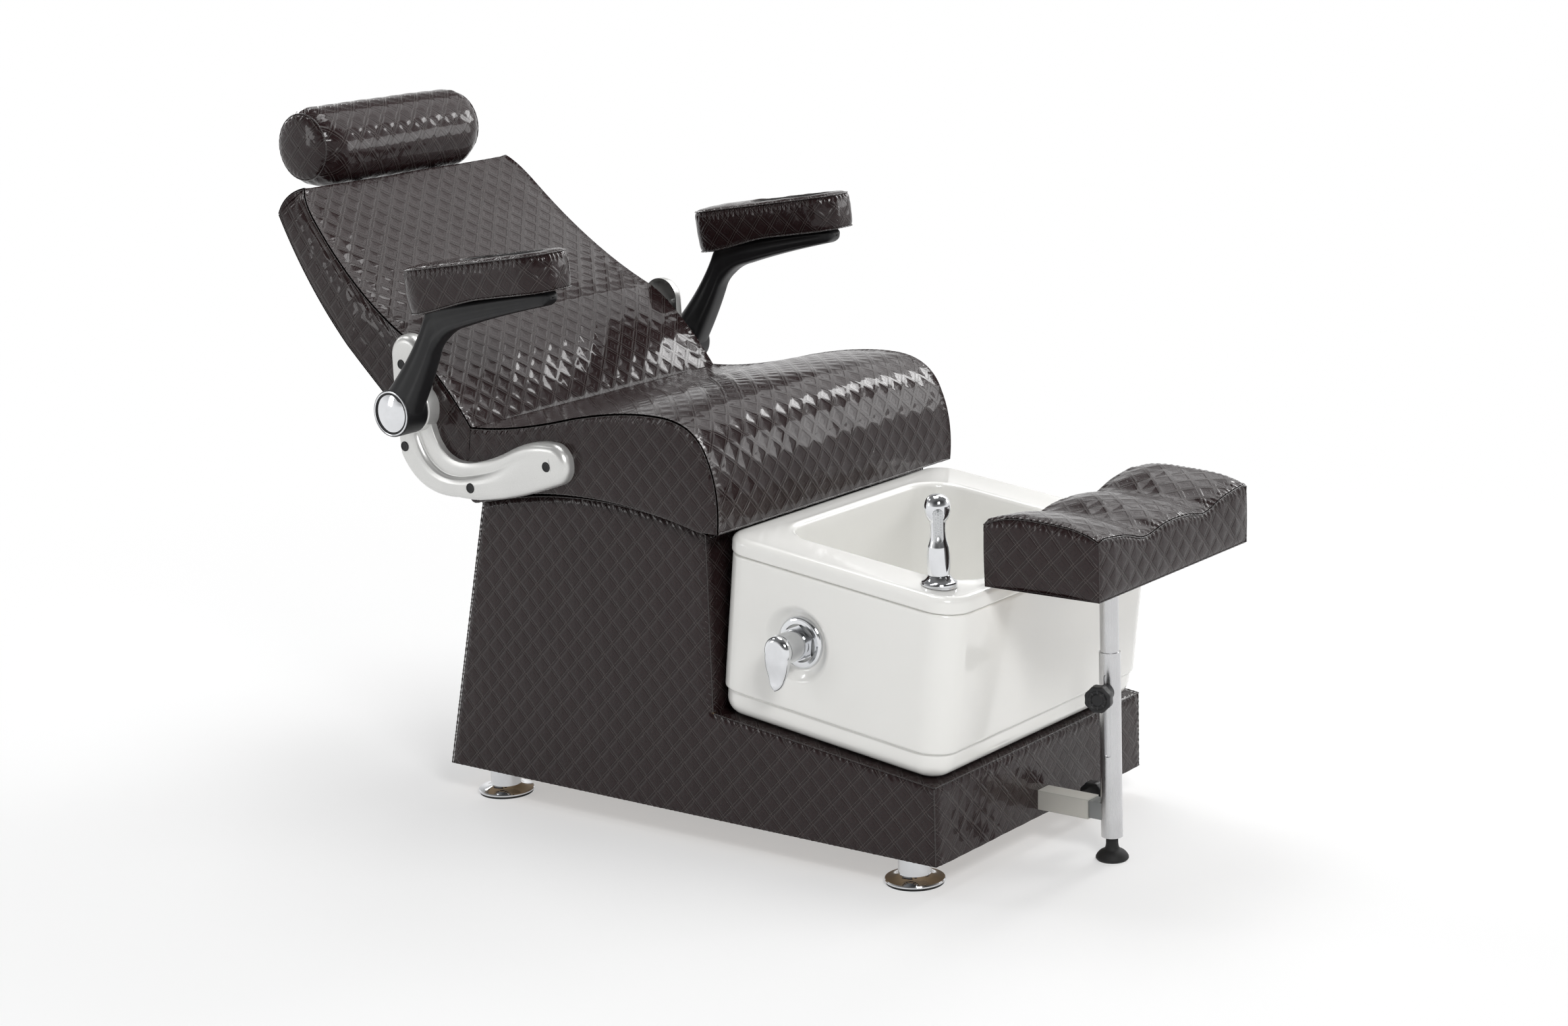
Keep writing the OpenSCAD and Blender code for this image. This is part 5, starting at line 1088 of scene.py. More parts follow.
def arm_pad(mirror):
    s = Shape()
    n = 330
    outer, girth = pad_ring(n)
    inner = tray_ring(n, 2.2)
    t = np.linspace(0, 1, 30)[:, None, None]
    XY = outer[None] * (1 - t) + inner[None] * t
    x, y = XY[..., 0], XY[..., 1]
    d_in = np.linalg.norm(outer - inner, axis=1)[None] * t[..., 0]
    d_tr = np.linalg.norm(outer - inner, axis=1)[None] * (1 - t[..., 0])
    z = pad_top(x, y) + seam_tuck(d_in, 2.4, 12) - 3.5 * (1 - np.clip(d_tr / 9, 0, 1)) ** 2.4
    z = z + 0.85 * emboss(x, y) * smooth(np.minimum(d_in, d_tr), 2, 8) + 0.4 * rumple(x, y, 60, 71)
    s.add(at_pad(join(x, y, z)), join(x, y), close=True, flip=True)
    # walls
    w = np.linspace(0, 1, 30)[:, None]
    zt = pad_top(outer[:, 0], outer[:, 1])[None] - 2.4
    sag = 13 * (1 - smooth(outer[:, 1], 20, 170))[None]
    z = zt * (1 - w) + (0.8 - sag) * w
    run = np.linspace(0, girth, n, endpoint=False)[None] + 0 * w
    nrm = np.gradient(np.concatenate([outer[-1:], outer, outer[:1]]), axis=0)[1:-1]
    nrm = join(nrm[:, 1], -nrm[:, 0])
    nrm /= np.linalg.norm(nrm, axis=1, keepdims=True)
    h = zt * np.ones_like(w)
    e = np.minimum(w * h, (1 - w) * h)
    out = -1.6 * (1 - np.clip(e / 9, 0, 1)) ** 2 + 2.0 * np.sin(math.pi * w) ** 0.8 \
        + 0.85 * emboss(run, z) * smooth(e, 2, 8) + 0.4 * rumple(run, z, 50, 72)
    out += pucker(run, w * h, 0.8)
    k = 1 - 0.04 * w
    px = outer[:, 0][None] * k + nrm[:, 0][None] * out
    py = outer[:, 1][None] + nrm[:, 1][None] * out * np.ones_like(w)
    s.add(at_pad(join(px, py, z)), join(run, z), close=True, flip=False)
    # bottom ring and flat closing
    q = join(outer[:, 0] * 0.96, outer[:, 1])
    c = np.array([0, PAD_LEN / 2])
    rings = np.stack([q, q * 0.93 + c * 0.07, q * 0.45 + c * 0.55, q * 0.02 + c * 0.98])
    low = np.stack([0.8 - sag[0], 0.0 - sag[0] * 1.02, 0.8 + 0 * sag[0], 0.8 + 0 * sag[0]])
    s.add(at_pad(np.concatenate([rings, low[..., None]], -1)), rings, close=True, flip=False)
    # seams: top edge, bottom edge, rolled rim of the tray
    ring = lift(outer * 0.995 + c * 0.005, zt[0] + 0.4)
    tube(s, at_pad(ring), 1.1, wob=0.25, closed=True)
    ring = lift(q, 1.4 - sag[0])
    tube(s, at_pad(ring), 1.1, wob=0.2, closed=True)
    rim = tray_ring(n, 1.6)
    zr = pad_top(rim[:, 0], rim[:, 1]) - 2.6
    tube(s, at_pad(lift(rim, zr)), 1.3, wob=0.12, closed=True)
    side = "left" if mirror else "right"
    s.build("arm_pad_upholstery_" + side, [VINYL, WELT], "armrest_" + side, ["arm_pad_" + side],
            "vinyl", mirror=mirror, pad=0.85)
    # tray lining: a pressed oval shell with a rolled edge
    t = Shape()
    prof = [(1.4, -1.6), (-0.6, -1.2), (-2.2, -3.2), (-3.0, -9), (-4.2, -17), (-7.5, -21.6),
            (-12.5, -23.4), (-19, -24.0)]
    top = pad_top(0, TRAY_Y)
    rings = []
    for g, dz in prof:
        r = tray_ring(n, g)
        base = pad_top(r[:, 0], r[:, 1]) if dz > -5 else np.full(n, float(top) - 1.0)
        rings.append(lift(r, base + dz))
    last = rings[-1]
    mid = join(last[:, 0] * 0.02, (last[:, 1] - TRAY_Y) * 0.72 + TRAY_Y, last[:, 2])
    rings.append(mid)
    rings = np.stack(rings)
    # with a ring halfway between each two
    rr = np.concatenate([rings[:1]] + [[(a + b) / 2, b] for a, b in zip(rings[:-1], rings[1:])])
    t.add(at_pad(rr), rr[..., :2], close=True, flip=True)
    t.build("tray_" + side, [LINING], "armrest_" + side, ["arm_tray_" + side], "lining",
            mirror=mirror)


arm_pad(False)
arm_pad(True)


# ---------------------------------------------------------------- basin
BOWL_MID, BOWL_W0, BASIN_H, WALL_TOP = 199.0, 40, 280, 256
HB, BF, BB, BR = 278, -4, 410, 45
MIX_V, MIX_W, DISH = 262, 147, 13


def on_deck(p):
    p = np.asarray(p, float)
    x, v, w = p[..., 0], p[..., 1], p[..., 2]
    return join(x, v * CT - w * ST, DECK0 + v * ST + w * CT)


def ring_rect(x0, x1, y0, y1, r, nx=60, ny=150, nc=16):
    """Rounded rectangle, counter-clockwise, with the same share of points on each part."""
    def line(a, b, n):
        t = np.linspace(0, 1, n, endpoint=False)[:, None]
        return np.array(a) * (1 - t) + np.array(b) * t

    def arc(cx, cy, a0, n):
        t = np.radians(np.linspace(a0, a0 + 90, n, endpoint=False))
        return join(cx + r * np.cos(t), cy + r * np.sin(t))
    return np.concatenate([
        line((x0 + r, y0), (x1 - r, y0), nx), arc(x1 - r, y0 + r, -90, nc),
        line((x1, y0 + r), (x1, y1 - r), ny), arc(x1 - r, y1 - r, 0, nc),
        line((x1 - r, y1), (x0 + r, y1), nx), arc(x0 + r, y1 - r, 90, nc),
        line((x0, y1 - r), (x0, y0 + r), ny), arc(x0 + r, y0 + r, 180, nc)])


def outline_ring(e, w):
    q = ring_rect(-HB + e, HB - e, BF + e, BB - e, BR - e)
    return lift(q, w)


def bowl_ring(e, w):
    q = ring_rect(-198 + e, 198 - e, 34 + e, 364 - e, 60 - min(e, 40))
    return lift(q, w)


def dish_in(p):
    """Presses the recess around the mixer into the skirt's wall."""
    r = np.hypot(p[..., 1] - MIX_V, p[..., 2] - MIX_W)
    q = p.copy()
    q[..., 0] += DISH * smooth(59.5 - r, 0, 20) * (p[..., 0] < -HB + 8)
    return q


def basin():
    s = Shape()
    prof = [(38, 0.2)]
    prof += [(5 + 27 * (1 - math.sin(a)), 27 * (1 - math.cos(a)))
             for a in np.linspace(0, 1.5708, 12)]
    prof += [(5, 30), (5, 34), (5, 37)]
    prof += [(5.3, 39.2), (6.6, 40.6), (6.8, 41.8), (5.0, 42.4), (2.6, 42.8), (1.0, 43.8),
             (0.2, 45.6),
             (0.0, 48)]
    prof += [(0, w) for w in np.linspace(50.5, 249, 90)]
    prof += [(0.3, 251), (1.2, 252.6), (2.8, 253.8), (4.5, 254.4), (6.0, 255.6)]
    rings = np.stack([outline_ring(e, w) for e, w in prof])
    s.add(on_deck(dish_in(rings)), rings[..., :2], close=True)
    s.build("basin_skirt_shell", [ACRYLIC], "chair", ["basin_skirt"], "acrylic")

    s = Shape()
    prof = [(5.0, 255.6), (0.8, 255.5), (-0.9, 255.9), (-1.8, 257.0), (-2.0, 258.6)]
    prof += [(-2.0, w) for w in np.linspace(261, 269, 4)]
    prof += [(-2 + 10 * (1 - math.cos(a)), 270 + 10 * math.sin(a))
             for a in np.linspace(0.12, 1.5708, 9)]
    rings = [outline_ring(e, w) for e, w in prof]
    rim_in = bowl_ring(-9, 280)
    last = rings[-1]
    for t in (0.06, 0.2, 0.4, 0.6, 0.8, 0.94):
        r = last * (1 - t) + rim_in * t
        r[:, 2] -= 1.4 * math.sin(math.pi * t) ** 0.8
        rings.append(r)
    rings += [bowl_ring(-9 * (1 - math.sin(a)), 280 - 9 * (1 - math.cos(a)))
              for a in np.linspace(0, 1.5708, 8)]
    R = 34.0
    wall = lambda w: 18 * (BASIN_H - w) / 240
    rings += [bowl_ring(wall(w), w) for w in np.linspace(266, BOWL_W0 + R, 22)]
    e_w = wall(BOWL_W0 + R)
    rings += [bowl_ring(e_w + R * (1 - math.cos(b)), BOWL_W0 + R * (1 - math.sin(b)))
              for b in np.linspace(0.12, 1.5708, 11)]
    floor = rings[-1]
    c = np.array([0, BOWL_MID])
    d = floor[:, :2] - c
    hole = c + 24.0 * d / np.linalg.norm(d, axis=1, keepdims=True)
    hole = lift(hole, BOWL_W0)
    for t in (0.25, 0.5, 0.75, 0.92, 1.0):
        rings.append(floor * (1 - t) + hole * t)
    rings.append(hole - [0, 0, 4])
    rings = np.stack(rings)
    s.add(on_deck(rings), rings[..., :2], close=True)
    s.build("basin_liner_shell", [ACRYLIC], "chair", ["basin_liner"], "acrylic")


basin()


# ---------------------------------------------------------------- slabs with rounded edges
def seg(*pts, n=20):
    """Points of a line (2 points) or a quadratic curve (3), without the last."""
    t = np.linspace(0, 1, n, endpoint=False)[:, None]
    q = [np.array(p, float) for p in pts]
    if len(q) == 2:
        return q[0] * (1 - t) + q[1] * t
    return (1 - t) ** 2 * q[0] + 2 * t * (1 - t) * q[1] + t * t * q[2]


def even(p, n):
    """n points evenly spaced along a polyline."""
    s = walk(p)
    return pick(p, s, np.linspace(0, s[-1], n))


def slab(shape, edge, spine, height, depths, foot, place, back=None):
    """A slab over a closed outline: edge and spine are matched loops, height(d, f, i) is
    the surface's height at distance d in from the edge, foot the height of its rim."""
    gap = np.linalg.norm(edge - spine, axis=1)
    wide = np.maximum(gap, 1e-6)
    inner = np.minimum(max(depths) / wide, 1)
    shares = [np.minimum(d / wide, 1) for d in depths]
    shares += [inner * (1 - f) + f for f in np.linspace(0, 1, 14)[1:]]
    out, idx = [lift(edge, float(foot))], np.arange(len(edge))
    for f in shares:
        p = edge * (1 - f[:, None]) + spine * f[:, None]
        out.append(lift(p, height(f * gap, f, idx)))
    g = np.stack(out)
    shape.add(place(g), g[..., :2], close=True)
    if back is not None:
        lo = np.stack([lift(spine, float(back)), lift(edge, float(back)), out[0]])
        shape.add(place(lo), lo[..., :2], close=True)


# ---------------------------------------------------------------- brackets
BOLT_Y = [SPLIT - 27, SPLIT - 188, HUB[0] + 23, HUB[0] + 19]
BOLTS = [(BOLT_Y[0], float(seat_bottom(BOLT_Y[0])) + 20),
         (BOLT_Y[1], float(seat_bottom(BOLT_Y[1])) + 47),
         (BOLT_Y[2], HUB[1] - 63), (BOLT_Y[3], HUB[1] + 68)]


def bracket(mirror):
    hy, hz = HUB
    y1, y0 = hy + 46, hy - 24
    toe = np.array([SPLIT - 227.0 + 33, float(seat_bottom(SPLIT - 227)) + 47.5])
    corner = (SPLIT + 6, float(seat_bottom(SPLIT - 60)) - 7)
    low = (SPLIT - 77, float(seat_bottom(SPLIT - 76)) - 16.4)
    n1, n2, n3 = 44, 60, 80
    outer = np.concatenate([
        seg((y1, hz + 80), (y1 + 0.5, hz - 10), (y1 - 10, hz - 78), n=n1),
        seg((y1 - 10, hz - 78), (y1 - 44, hz - 143), corner, n=n2),
        seg(corner, low, (toe[0] - 10.4, toe[1] - 31.3), n=n3 + 1)])
    far, near = (SPLIT - 110, hz - 48.5), (SPLIT - 34, hz - 76.5)
    run3 = np.concatenate([seg(near, (SPLIT - 72, hz - 67.5), far, n=60),
                           seg(far, (toe[0] + 44, toe[1] + 35), (toe[0] + 2, toe[1] + 33), n=61)])
    inner = np.concatenate([
        seg((y0, hz + 80), (y0, hz - 4), n=n1),
        seg(near, (SPLIT + 53, hz - 95), (y0, hz - 4), n=n2 + 1)[::-1][:n2],
        even(run3, n3 + 1)])
    mid = (outer + inner) / 2
    m = len(mid)
    top_c = np.array([hy + 11, hz + 80])

    def cap(c, r, a0, a1, n=34):
        t = np.linspace(a0, a1, n + 1)[1:-1]
        return c + r * join(np.cos(t), np.sin(t))
    toe_cap = cap(toe, 33, math.atan2(-31.3, -10.4), math.atan2(33, 2) - 2 * math.pi)
    top_cap = cap(top_c, 35, math.pi, 0)
    edge = np.concatenate([outer, toe_cap, inner[::-1], top_cap])
    spine = np.concatenate([mid, np.tile(toe, (len(toe_cap), 1)), mid[::-1],
                            np.tile(top_c, (len(top_cap), 1))])
    # place along the J, and which side of the middle each edge point is on
    run = np.linspace(0, 1, m)
    t_at = np.concatenate([run, np.ones(len(toe_cap)), run[::-1], np.zeros(len(top_cap))])
    side = np.concatenate([np.zeros(m), np.linspace(0, 1, len(toe_cap)), np.ones(m),
                           np.linspace(1, 0, len(top_cap))])

    def height(d, f, i):
        """A half-round bar along the outer side, and a lower flange inside it."""
        r = 12.0
        h = 10 + np.sqrt(np.maximum(0, r * r - np.maximum(0, r - d) ** 2))
        across = np.where(side[i] > 0.5, f / 2, 1 - f / 2)     # 0 inside edge, 1 outside edge
        fade = smooth(t_at[i], 0.13, 0.26) * (1 - smooth(t_at[i], 0.55, 0.95))
        at = 0.44 - 0.20 * smooth(t_at[i], 0.45, 0.9)
        bar = 22.8 - 5.0 * ((across - 0.72) / 0.28) ** 2
        flange = 14.6 - 3.0 * ((across - 0.22) / 0.24) ** 2
        k = smooth(across, at - 0.03, at + 0.03)
        form = np.minimum(h, flange * (1 - k) + bar * k)
        crown = h + 0.8 - 2.2 * (2 * across - 1) ** 2
        return np.minimum(crown * (1 - fade) + form * fade, 22.9)
    s = Shape()
    place = lambda g: join(-300 - g[..., 2], g[..., 0], g[..., 1])
    slab(s, edge, spine, height, [0, 0.15, 0.6, 1.3, 2.4, 3.8, 5.6, 7.6, 9.8, 12], 0.0, place)
    # boss behind the arm's hub
    prof = [(37, 0), (37, 22.0), (36.6, 23.6), (35.6, 24.6), (34, 25), (8.2, 25)]
    g = turned([(r, -300 - h) for r, h in prof], 72, hy, hz)
    s.add(g, g[..., 1:], close=True, flip=True)
    side_name = "left" if mirror else "right"
    s.build("bracket_casting_" + side_name, [SILVER], "chair", ["bracket_" + side_name],
                   "silver", mirror=mirror)


for flag in (False, True):
    bracket(flag)


def hub_cap(mirror):
    """Pressed chrome cover: a shallow dome inside a rolled rim."""
    side = "left" if mirror else "right"
    lo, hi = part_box("hub_cap_right")
    out, back = -lo[0] * 1000, -hi[0] * 1000
    r0 = (hi[2] - lo[2]) * 500
    prof = [(r0 - 2, back), (r0 - 0.2, back + 0.1), (r0, back + 0.6), (r0, out - 8.2)]
    prof += [(r0 - 1.6 + 1.6 * math.cos(t), out - 8.2 + 1.6 * math.sin(t))
             for t in np.linspace(0.15, math.pi * 0.8, 9)]
    rd = r0 - 3.4
    prof += [(rd * q, out - 7.0 + 6.9 * (1 - q ** 2)) for q in np.linspace(0.995, 0.01, 26)]
    s = Shape()
    g = turned([(r, -x) for r, x in prof], 96, *HUB)
    s.add(g, g[..., 1:], close=True)
    s.build("hub_cap_pressed_" + side, [CHROME], "armrest_" + side, ["hub_cap_" + side], "chrome",
            mirror=mirror)


for flag in (False, True):
    hub_cap(flag)


def caps():
    s = Shape()
    prof = [(8.0, -2), (8.0, 0.7), (7.6, 1.3), (6.8, 1.6), (5.9, 1.5), (5.2, 1.0), (4.6, 0.9),
            (3.0, 1.0), (0.05, 1.1)]
    for sgn in (-1, 1):
        for y, z in BOLTS:
            g = turned([(r, sgn * (322 + h)) for r, h in prof], 28, y, z)
            s.add(g, g[..., 1:], close=True, flip=sgn < 0)
    s.build("bracket_screw_caps", [BLACK], "chair", ["bracket_caps"], "black_plastic")


caps()


# ---------------------------------------------------------------- arms
def pad_line(y):
    return PAD_RISE - (np.asarray(y, float) + PAD_REAR) * math.tan(PAD_TILT)


def arm(mirror):
    hy, hz = HUB
    pl = lambda y: float(pad_line(y))
    tip = -327.0
    U = np.concatenate([
        seg((20, 24), (14, 33), n=6), seg((14, 33), (-43, 89), (-74, 152), n=34),
        seg((-74, 152), (-84, pl(-84) + 2), (-104, pl(-104) - 0.6), n=16),
        seg((-104, pl(-104) - 0.6), (-150, pl(-150) - 0.6), n=12),
        seg((-150, pl(-150) - 0.6), (tip, pl(tip) - 0.6), n=44),
        seg((tip, pl(tip) - 0.6), (tip - 4.5, pl(tip) - 4), (tip - 6, pl(tip) - 9), n=8)])
    L = np.concatenate([
        seg((-18, -26), (-32, -10), n=6), seg((-32, -10), (-72, 60), (-88, pl(-88) - 78), n=34),
        seg((-88, pl(-88) - 78), (-95, 112), (-108, 122.5), n=16),
        seg((-108, 122.5), (-124, 138), (-150, pl(-150) - 42), n=12),
        seg((-150, pl(-150) - 42), (tip + 110, pl(tip) - 46), (tip + 6, pl(tip) - 23), n=44),
        seg((tip + 6, pl(tip) - 23), (tip - 3, pl(tip) - 19), (tip - 6, pl(tip) - 10.5), n=8)])
    m = len(U)
    t = np.linspace(0, 1, m)
    # half thickness along the arm
    waist = 0.16 * smooth(t, 0.1, 0.35) * (1 - smooth(t, 0.4, 0.6))
    half = 20.5 * (1 - waist - 0.22 * smooth(t, 0.6, 0.97))
    half *= np.sqrt(np.clip(1 - ((t - 0.93) / 0.075).clip(0, 1) ** 2, 0.02, 1))
    k = 56
    th = circle(k)
    c, sn = np.cos(th), np.sin(th)
    ex = 0.52
    gy = np.sign(c) * np.abs(c) ** ex          # 1 at the upper side, -1 at the lower
    gx = np.sign(sn) * np.abs(sn) ** ex
    C, D = (U + L) / 2, (U - L) / 2
    P = np.zeros((m, k, 3))
    yz = C[:, None] + D[:, None] * gy[None, :, None]
    # lengthwise flutes on both faces
    fade = (smooth(t, 0.02, 0.16) * (1 - smooth(t, 0.80, 0.95)))[:, None]
    face = np.abs(gx)[None] ** 6
    drift = 0.18 * smooth(t, 0.3, 0.6)[:, None]
    flute = np.exp(-((gy[None] - 0.42 + drift) / 0.17) ** 2) * 3.1 \
        + np.exp(-((gy[None] + 0.36 + drift) / 0.20) ** 2) * 3.4
    x = half[:, None] * gx[None] - np.sign(gx)[None] * flute * face * fade
    P[..., 0] = -350.8 + x
    P[..., 1] = hy + yz[..., 0]
    P[..., 2] = hz + yz[..., 1]
    s = Shape()
    s.add(P, join(P[..., 1], P[..., 2]), close=True)
    for e, fl in ((0, True), (-1, False)):
        cen = P[e].mean(0)
        s.add(np.stack([P[e], P[e] * 0.3 + cen * 0.7]), P[e][None, :, 1:].repeat(2, 0), close=True,
              flip=fl)
    # hub with a rolled rim around the cap
    prof = [(9, 325.4), (33, 325.4), (35.6, 326), (36.8, 327.5), (37, 330), (37, 367.6),
            (36.8, 370),
            (36.3, 371.2), (35.7, 371.3), (35.3, 370.6), (34, 370.2), (12, 370.2)]
    g = turned([(r, -x) for r, x in prof], 80, hy, hz)
    s.add(g, g[..., 1:], close=True)
    side = "left" if mirror else "right"
    s.build("arm_casting_" + side, [BLACK], "armrest_" + side, ["arm_" + side], "black_plastic",
            mirror=mirror)


for flag in (False, True):
    arm(flag)


# ---------------------------------------------------------------- mixer lever
def lever():
    out = 330.0
    r = 23.0
    a0 = math.radians(72)
    t = np.linspace(-math.pi + a0, math.pi - a0, 60)
    head = join(-r * np.cos(t), r * np.sin(t))
    # a runs down the paddle, b across it
    b_end, a_end = head[-1][1], head[-1][0]
    right = np.concatenate([seg((a_end, b_end), (30, 20.5), (42, 14.5), n=22),
                            seg((42, 14.5), (58, 10.5), (62, 0), n=22)])
    left = right[::-1] * [1, -1]
    edge = np.concatenate([head, right[1:], [[62.3, 0]], left[:-1]])
    spine = join(np.clip(edge[:, 0], 0, 54), np.zeros(len(edge)))
    spine[:, 0] = np.where(edge[:, 0] < 0, 0, spine[:, 0])

    def height(d, f, i):
        along = edge[i, 0] * (1 - f) + spine[i, 0] * f
        full = 13 - 5.2 * smooth(along, 14, 44) + 1.6 * smooth(along, 46, 62)
        rr = 10.0 - 4.5 * smooth(along, 10, 40)
        return full - rr + np.sqrt(np.maximum(0, rr * rr - np.maximum(0, rr - d) ** 2)) \
            - 0.9 * (1 - f) ** 2 * smooth(along, 12, 30)
    s = Shape()

    def place(g):
        # Above the pivot the back leans away from the head, for the lever to tip into
        relief = np.clip(-g[..., 0] - 17.5, 0, None) * math.tan(math.radians(22))
        x = -(out - 13) - np.maximum(g[..., 2], relief)
        return on_deck(join(x, MIX_V + g[..., 1], MIX_W - g[..., 0]))
    if np.sum(edge[:, 0] * np.roll(edge[:, 1], -1) - np.roll(edge[:, 0], -1) * edge[:, 1]) > 0:
        edge, spine = edge[::-1], spine[::-1]
    slab(s, edge, spine, height, [0, 0.3, 0.9, 1.8, 3, 4.6, 6.6, 9], 0.6, place, back=0.6)
    # The barrel that the lever turns on, half sunk in the head
    t = circle(28)[None]
    v, r = np.array([-8.8, -8.8, -8.3, 8.3, 8.8, 8.8]), np.array([0.02, 2.4, 2.9, 2.9, 2.4, 0.02])
    g = join(-(out - 13) + r[:, None] * np.cos(t), MIX_V + v[:, None] + 0 * t,
             MIX_W + 18 + r[:, None] * np.sin(t))
    s.add(on_deck(g), g[..., :2], close=True)
    s.build("mixer_lever_cast", [CHROME], "mixer_lever", ["mixer_lever"], "chrome")


lever()


# ---------------------------------------------------------------- hand shower
def handset():
    cx, cy = -226.0, 21.0
    rim_z = DECK0 + (BASIN_H + cy * ST) / CT
    z0 = rim_z + 14 + 0.3
    sr, top = 12.0, 132 - 14 - 0.5
    prof = np.concatenate([
        seg((sr + 3.5, 0), (sr + 6, 22), (sr + 3, 42), n=34),
        seg((sr + 3, 42), (sr - 3.5, 60), (sr, 78), n=34),
        seg((sr, 78), (sr + 8, 88), (sr + 6.5, 102), n=34),
        seg((sr + 6.5, 102), (sr + 4, top), (0.05, top), n=34), [[0.05, top]]])
    foot = np.array([[sr - 0.2, -9], [sr - 0.2, -0.6], [sr + 2.6, -0.2]])
    prof = np.concatenate([foot, prof])
    a = circle(120)
    R, A = prof[:, :1], a[None]
    nx, ny = -math.cos(rad(38)), -math.sin(rad(38))
    x, y = R * np.cos(A), R * np.sin(A)
    z = prof[:, 1:2] + 0 * A
    out = x * nx + y * ny
    lat = -x * ny + y * nx
    half, mid = 8.5, 74.0
    dz = np.maximum(np.abs(z - mid) - (52 - 17) / 2, 0)
    inside = half - np.hypot(lat, dz)
    plane = 13.8
    cut = np.minimum(out, plane + (1 - smooth(inside, -0.6, 1.2)) * 30)
    cut = np.where(out > 0, cut, out)
    x, y = cut * nx - lat * ny, cut * ny + lat * nx
    s = Shape()
    s.add(join(cx + x, cy + y, z0 + z), join(A * 12, z), close=True)
    s.build("shower_handset_cast", [CHROME], "handset", ["shower_handset"], "chrome")
    # spray face: a thin plate with rows of nozzles
    p = Shape()
    t = circle(64)
    e = join(7.4 * np.cos(t), 7.4 * np.sin(t) + np.where(np.sin(t) >= 0, 17.5, -17.5))
    rings = []
    for f, h in ((1.0, -1.2), (1.0, 0.2), (0.96, 0.75), (0.88, 0.9), (0.8, 0.55), (0.4, 0.7),
                 (0.02, 0.75)):
        rings.append(lift(e * [f, 1 if f > 0.5 else f], h))
    g = np.stack(rings)

    def place(g):
        o, la, up = plane + 0.4 + g[..., 2], g[..., 0], g[..., 1]
        return join(cx + o * nx - la * ny, cy + o * ny + la * nx, z0 + mid + up)
    p.add(place(g), g[..., :2], close=True, flip=True)
    for row in range(-5, 6):
        for col in (-1, 0, 1):
            c = np.array([col * 3.6, row * 3.9 + (1.9 if col else 0)])
            if abs(c[1]) > 22:
                continue
            u = circle(10)
            r = np.stack([join(c[0] + q * np.cos(u), c[1] + q * np.sin(u), hh)
                          for q, hh in ((0.95, 0.5), (0.9, 1.1), (0.5, 1.35), (0.05, 1.3))])
            p.add(place(r), r[..., :2], close=True, flip=True)
    p.build("shower_spray_plate", [STEEL], "handset", ["shower_face"], "steel")


handset()


# ---------------------------------------------------------------- clamp knobs
def knob(name, origin, turn, a, b, body):
    """Eight-sided hand knob on its screw, standing out along its own x."""
    s = Shape()
    c, sn = math.cos(turn), math.sin(turn)

    def place(x, y, z):
        return join(origin[0] + x * c - y * sn, origin[1] + x * sn + y * c, origin[2] + z)
    t = circle(144)
    k = 2 * math.pi / 8
    w = (t + k / 2) % k - k / 2
    flat = math.cos(k / 2) / np.cos(w)
    lobe = 21.0 * np.minimum(flat, 0.962) * (1 - 0.012 * np.cos(8 * t))
    x0, x1 = b + 28, b + 46
    parts = [(4.0, a), (4.0, b), (11.2, b + 0.1), (12, b + 1.2), (12, x0 - 1)]
    for f, x in ((0.84, x0), (0.93, x0 + 0.4), (0.98, x0 + 1.6), (1.0, x0 + 3.4), (1.0, x1 - 3.6),
                 (0.985, x1 - 1.8), (0.945, x1 - 0.6), (0.89, x1 - 0.1), (0.72, x1),
                 (0.69, x1 - 0.5), (0.665, x1 - 2.0), (0.44, x1 - 2.1), (0.42, x1 - 0.6),
                 (0.39, x1), (0.30, x1 + 0.1), (0.10, x1 - 0.1), (0.002, x1 - 0.1)):
        parts.append((np.where(f > 0.8, lobe * f, 21.0 * f), x))
    g = np.stack([place(x + 0 * t, r * np.cos(t), r * np.sin(t)) for r, x in parts])
    s.add(g, join(t * 20, g[..., 2]), close=True)
    # spokes across the sunken ring
    for i in range(8):
        q = i * k
        u = circle(8)
        line = []
        for rad_ in (9.2, 14.0):
            cy, cz = rad_ * math.cos(q), rad_ * math.sin(q)
            line.append(place(x1 - 1.9 + 0.9 * np.cos(u), cy - 0.9 * np.sin(u) * math.sin(q),
                              cz + 0.9 * np.sin(u) * math.cos(q)))
        s.add(np.stack(line), None, close=True)
    s.build(name + "_moulded", [KNOB], body, [name], "black_plastic")


knob("height_knob", (0, -120, 262), rad(194), 3, 16.3, "height_knob")
knob("reach_knob", (0, -56, 75), 0.0, 13.5, 15.3, "reach_knob")


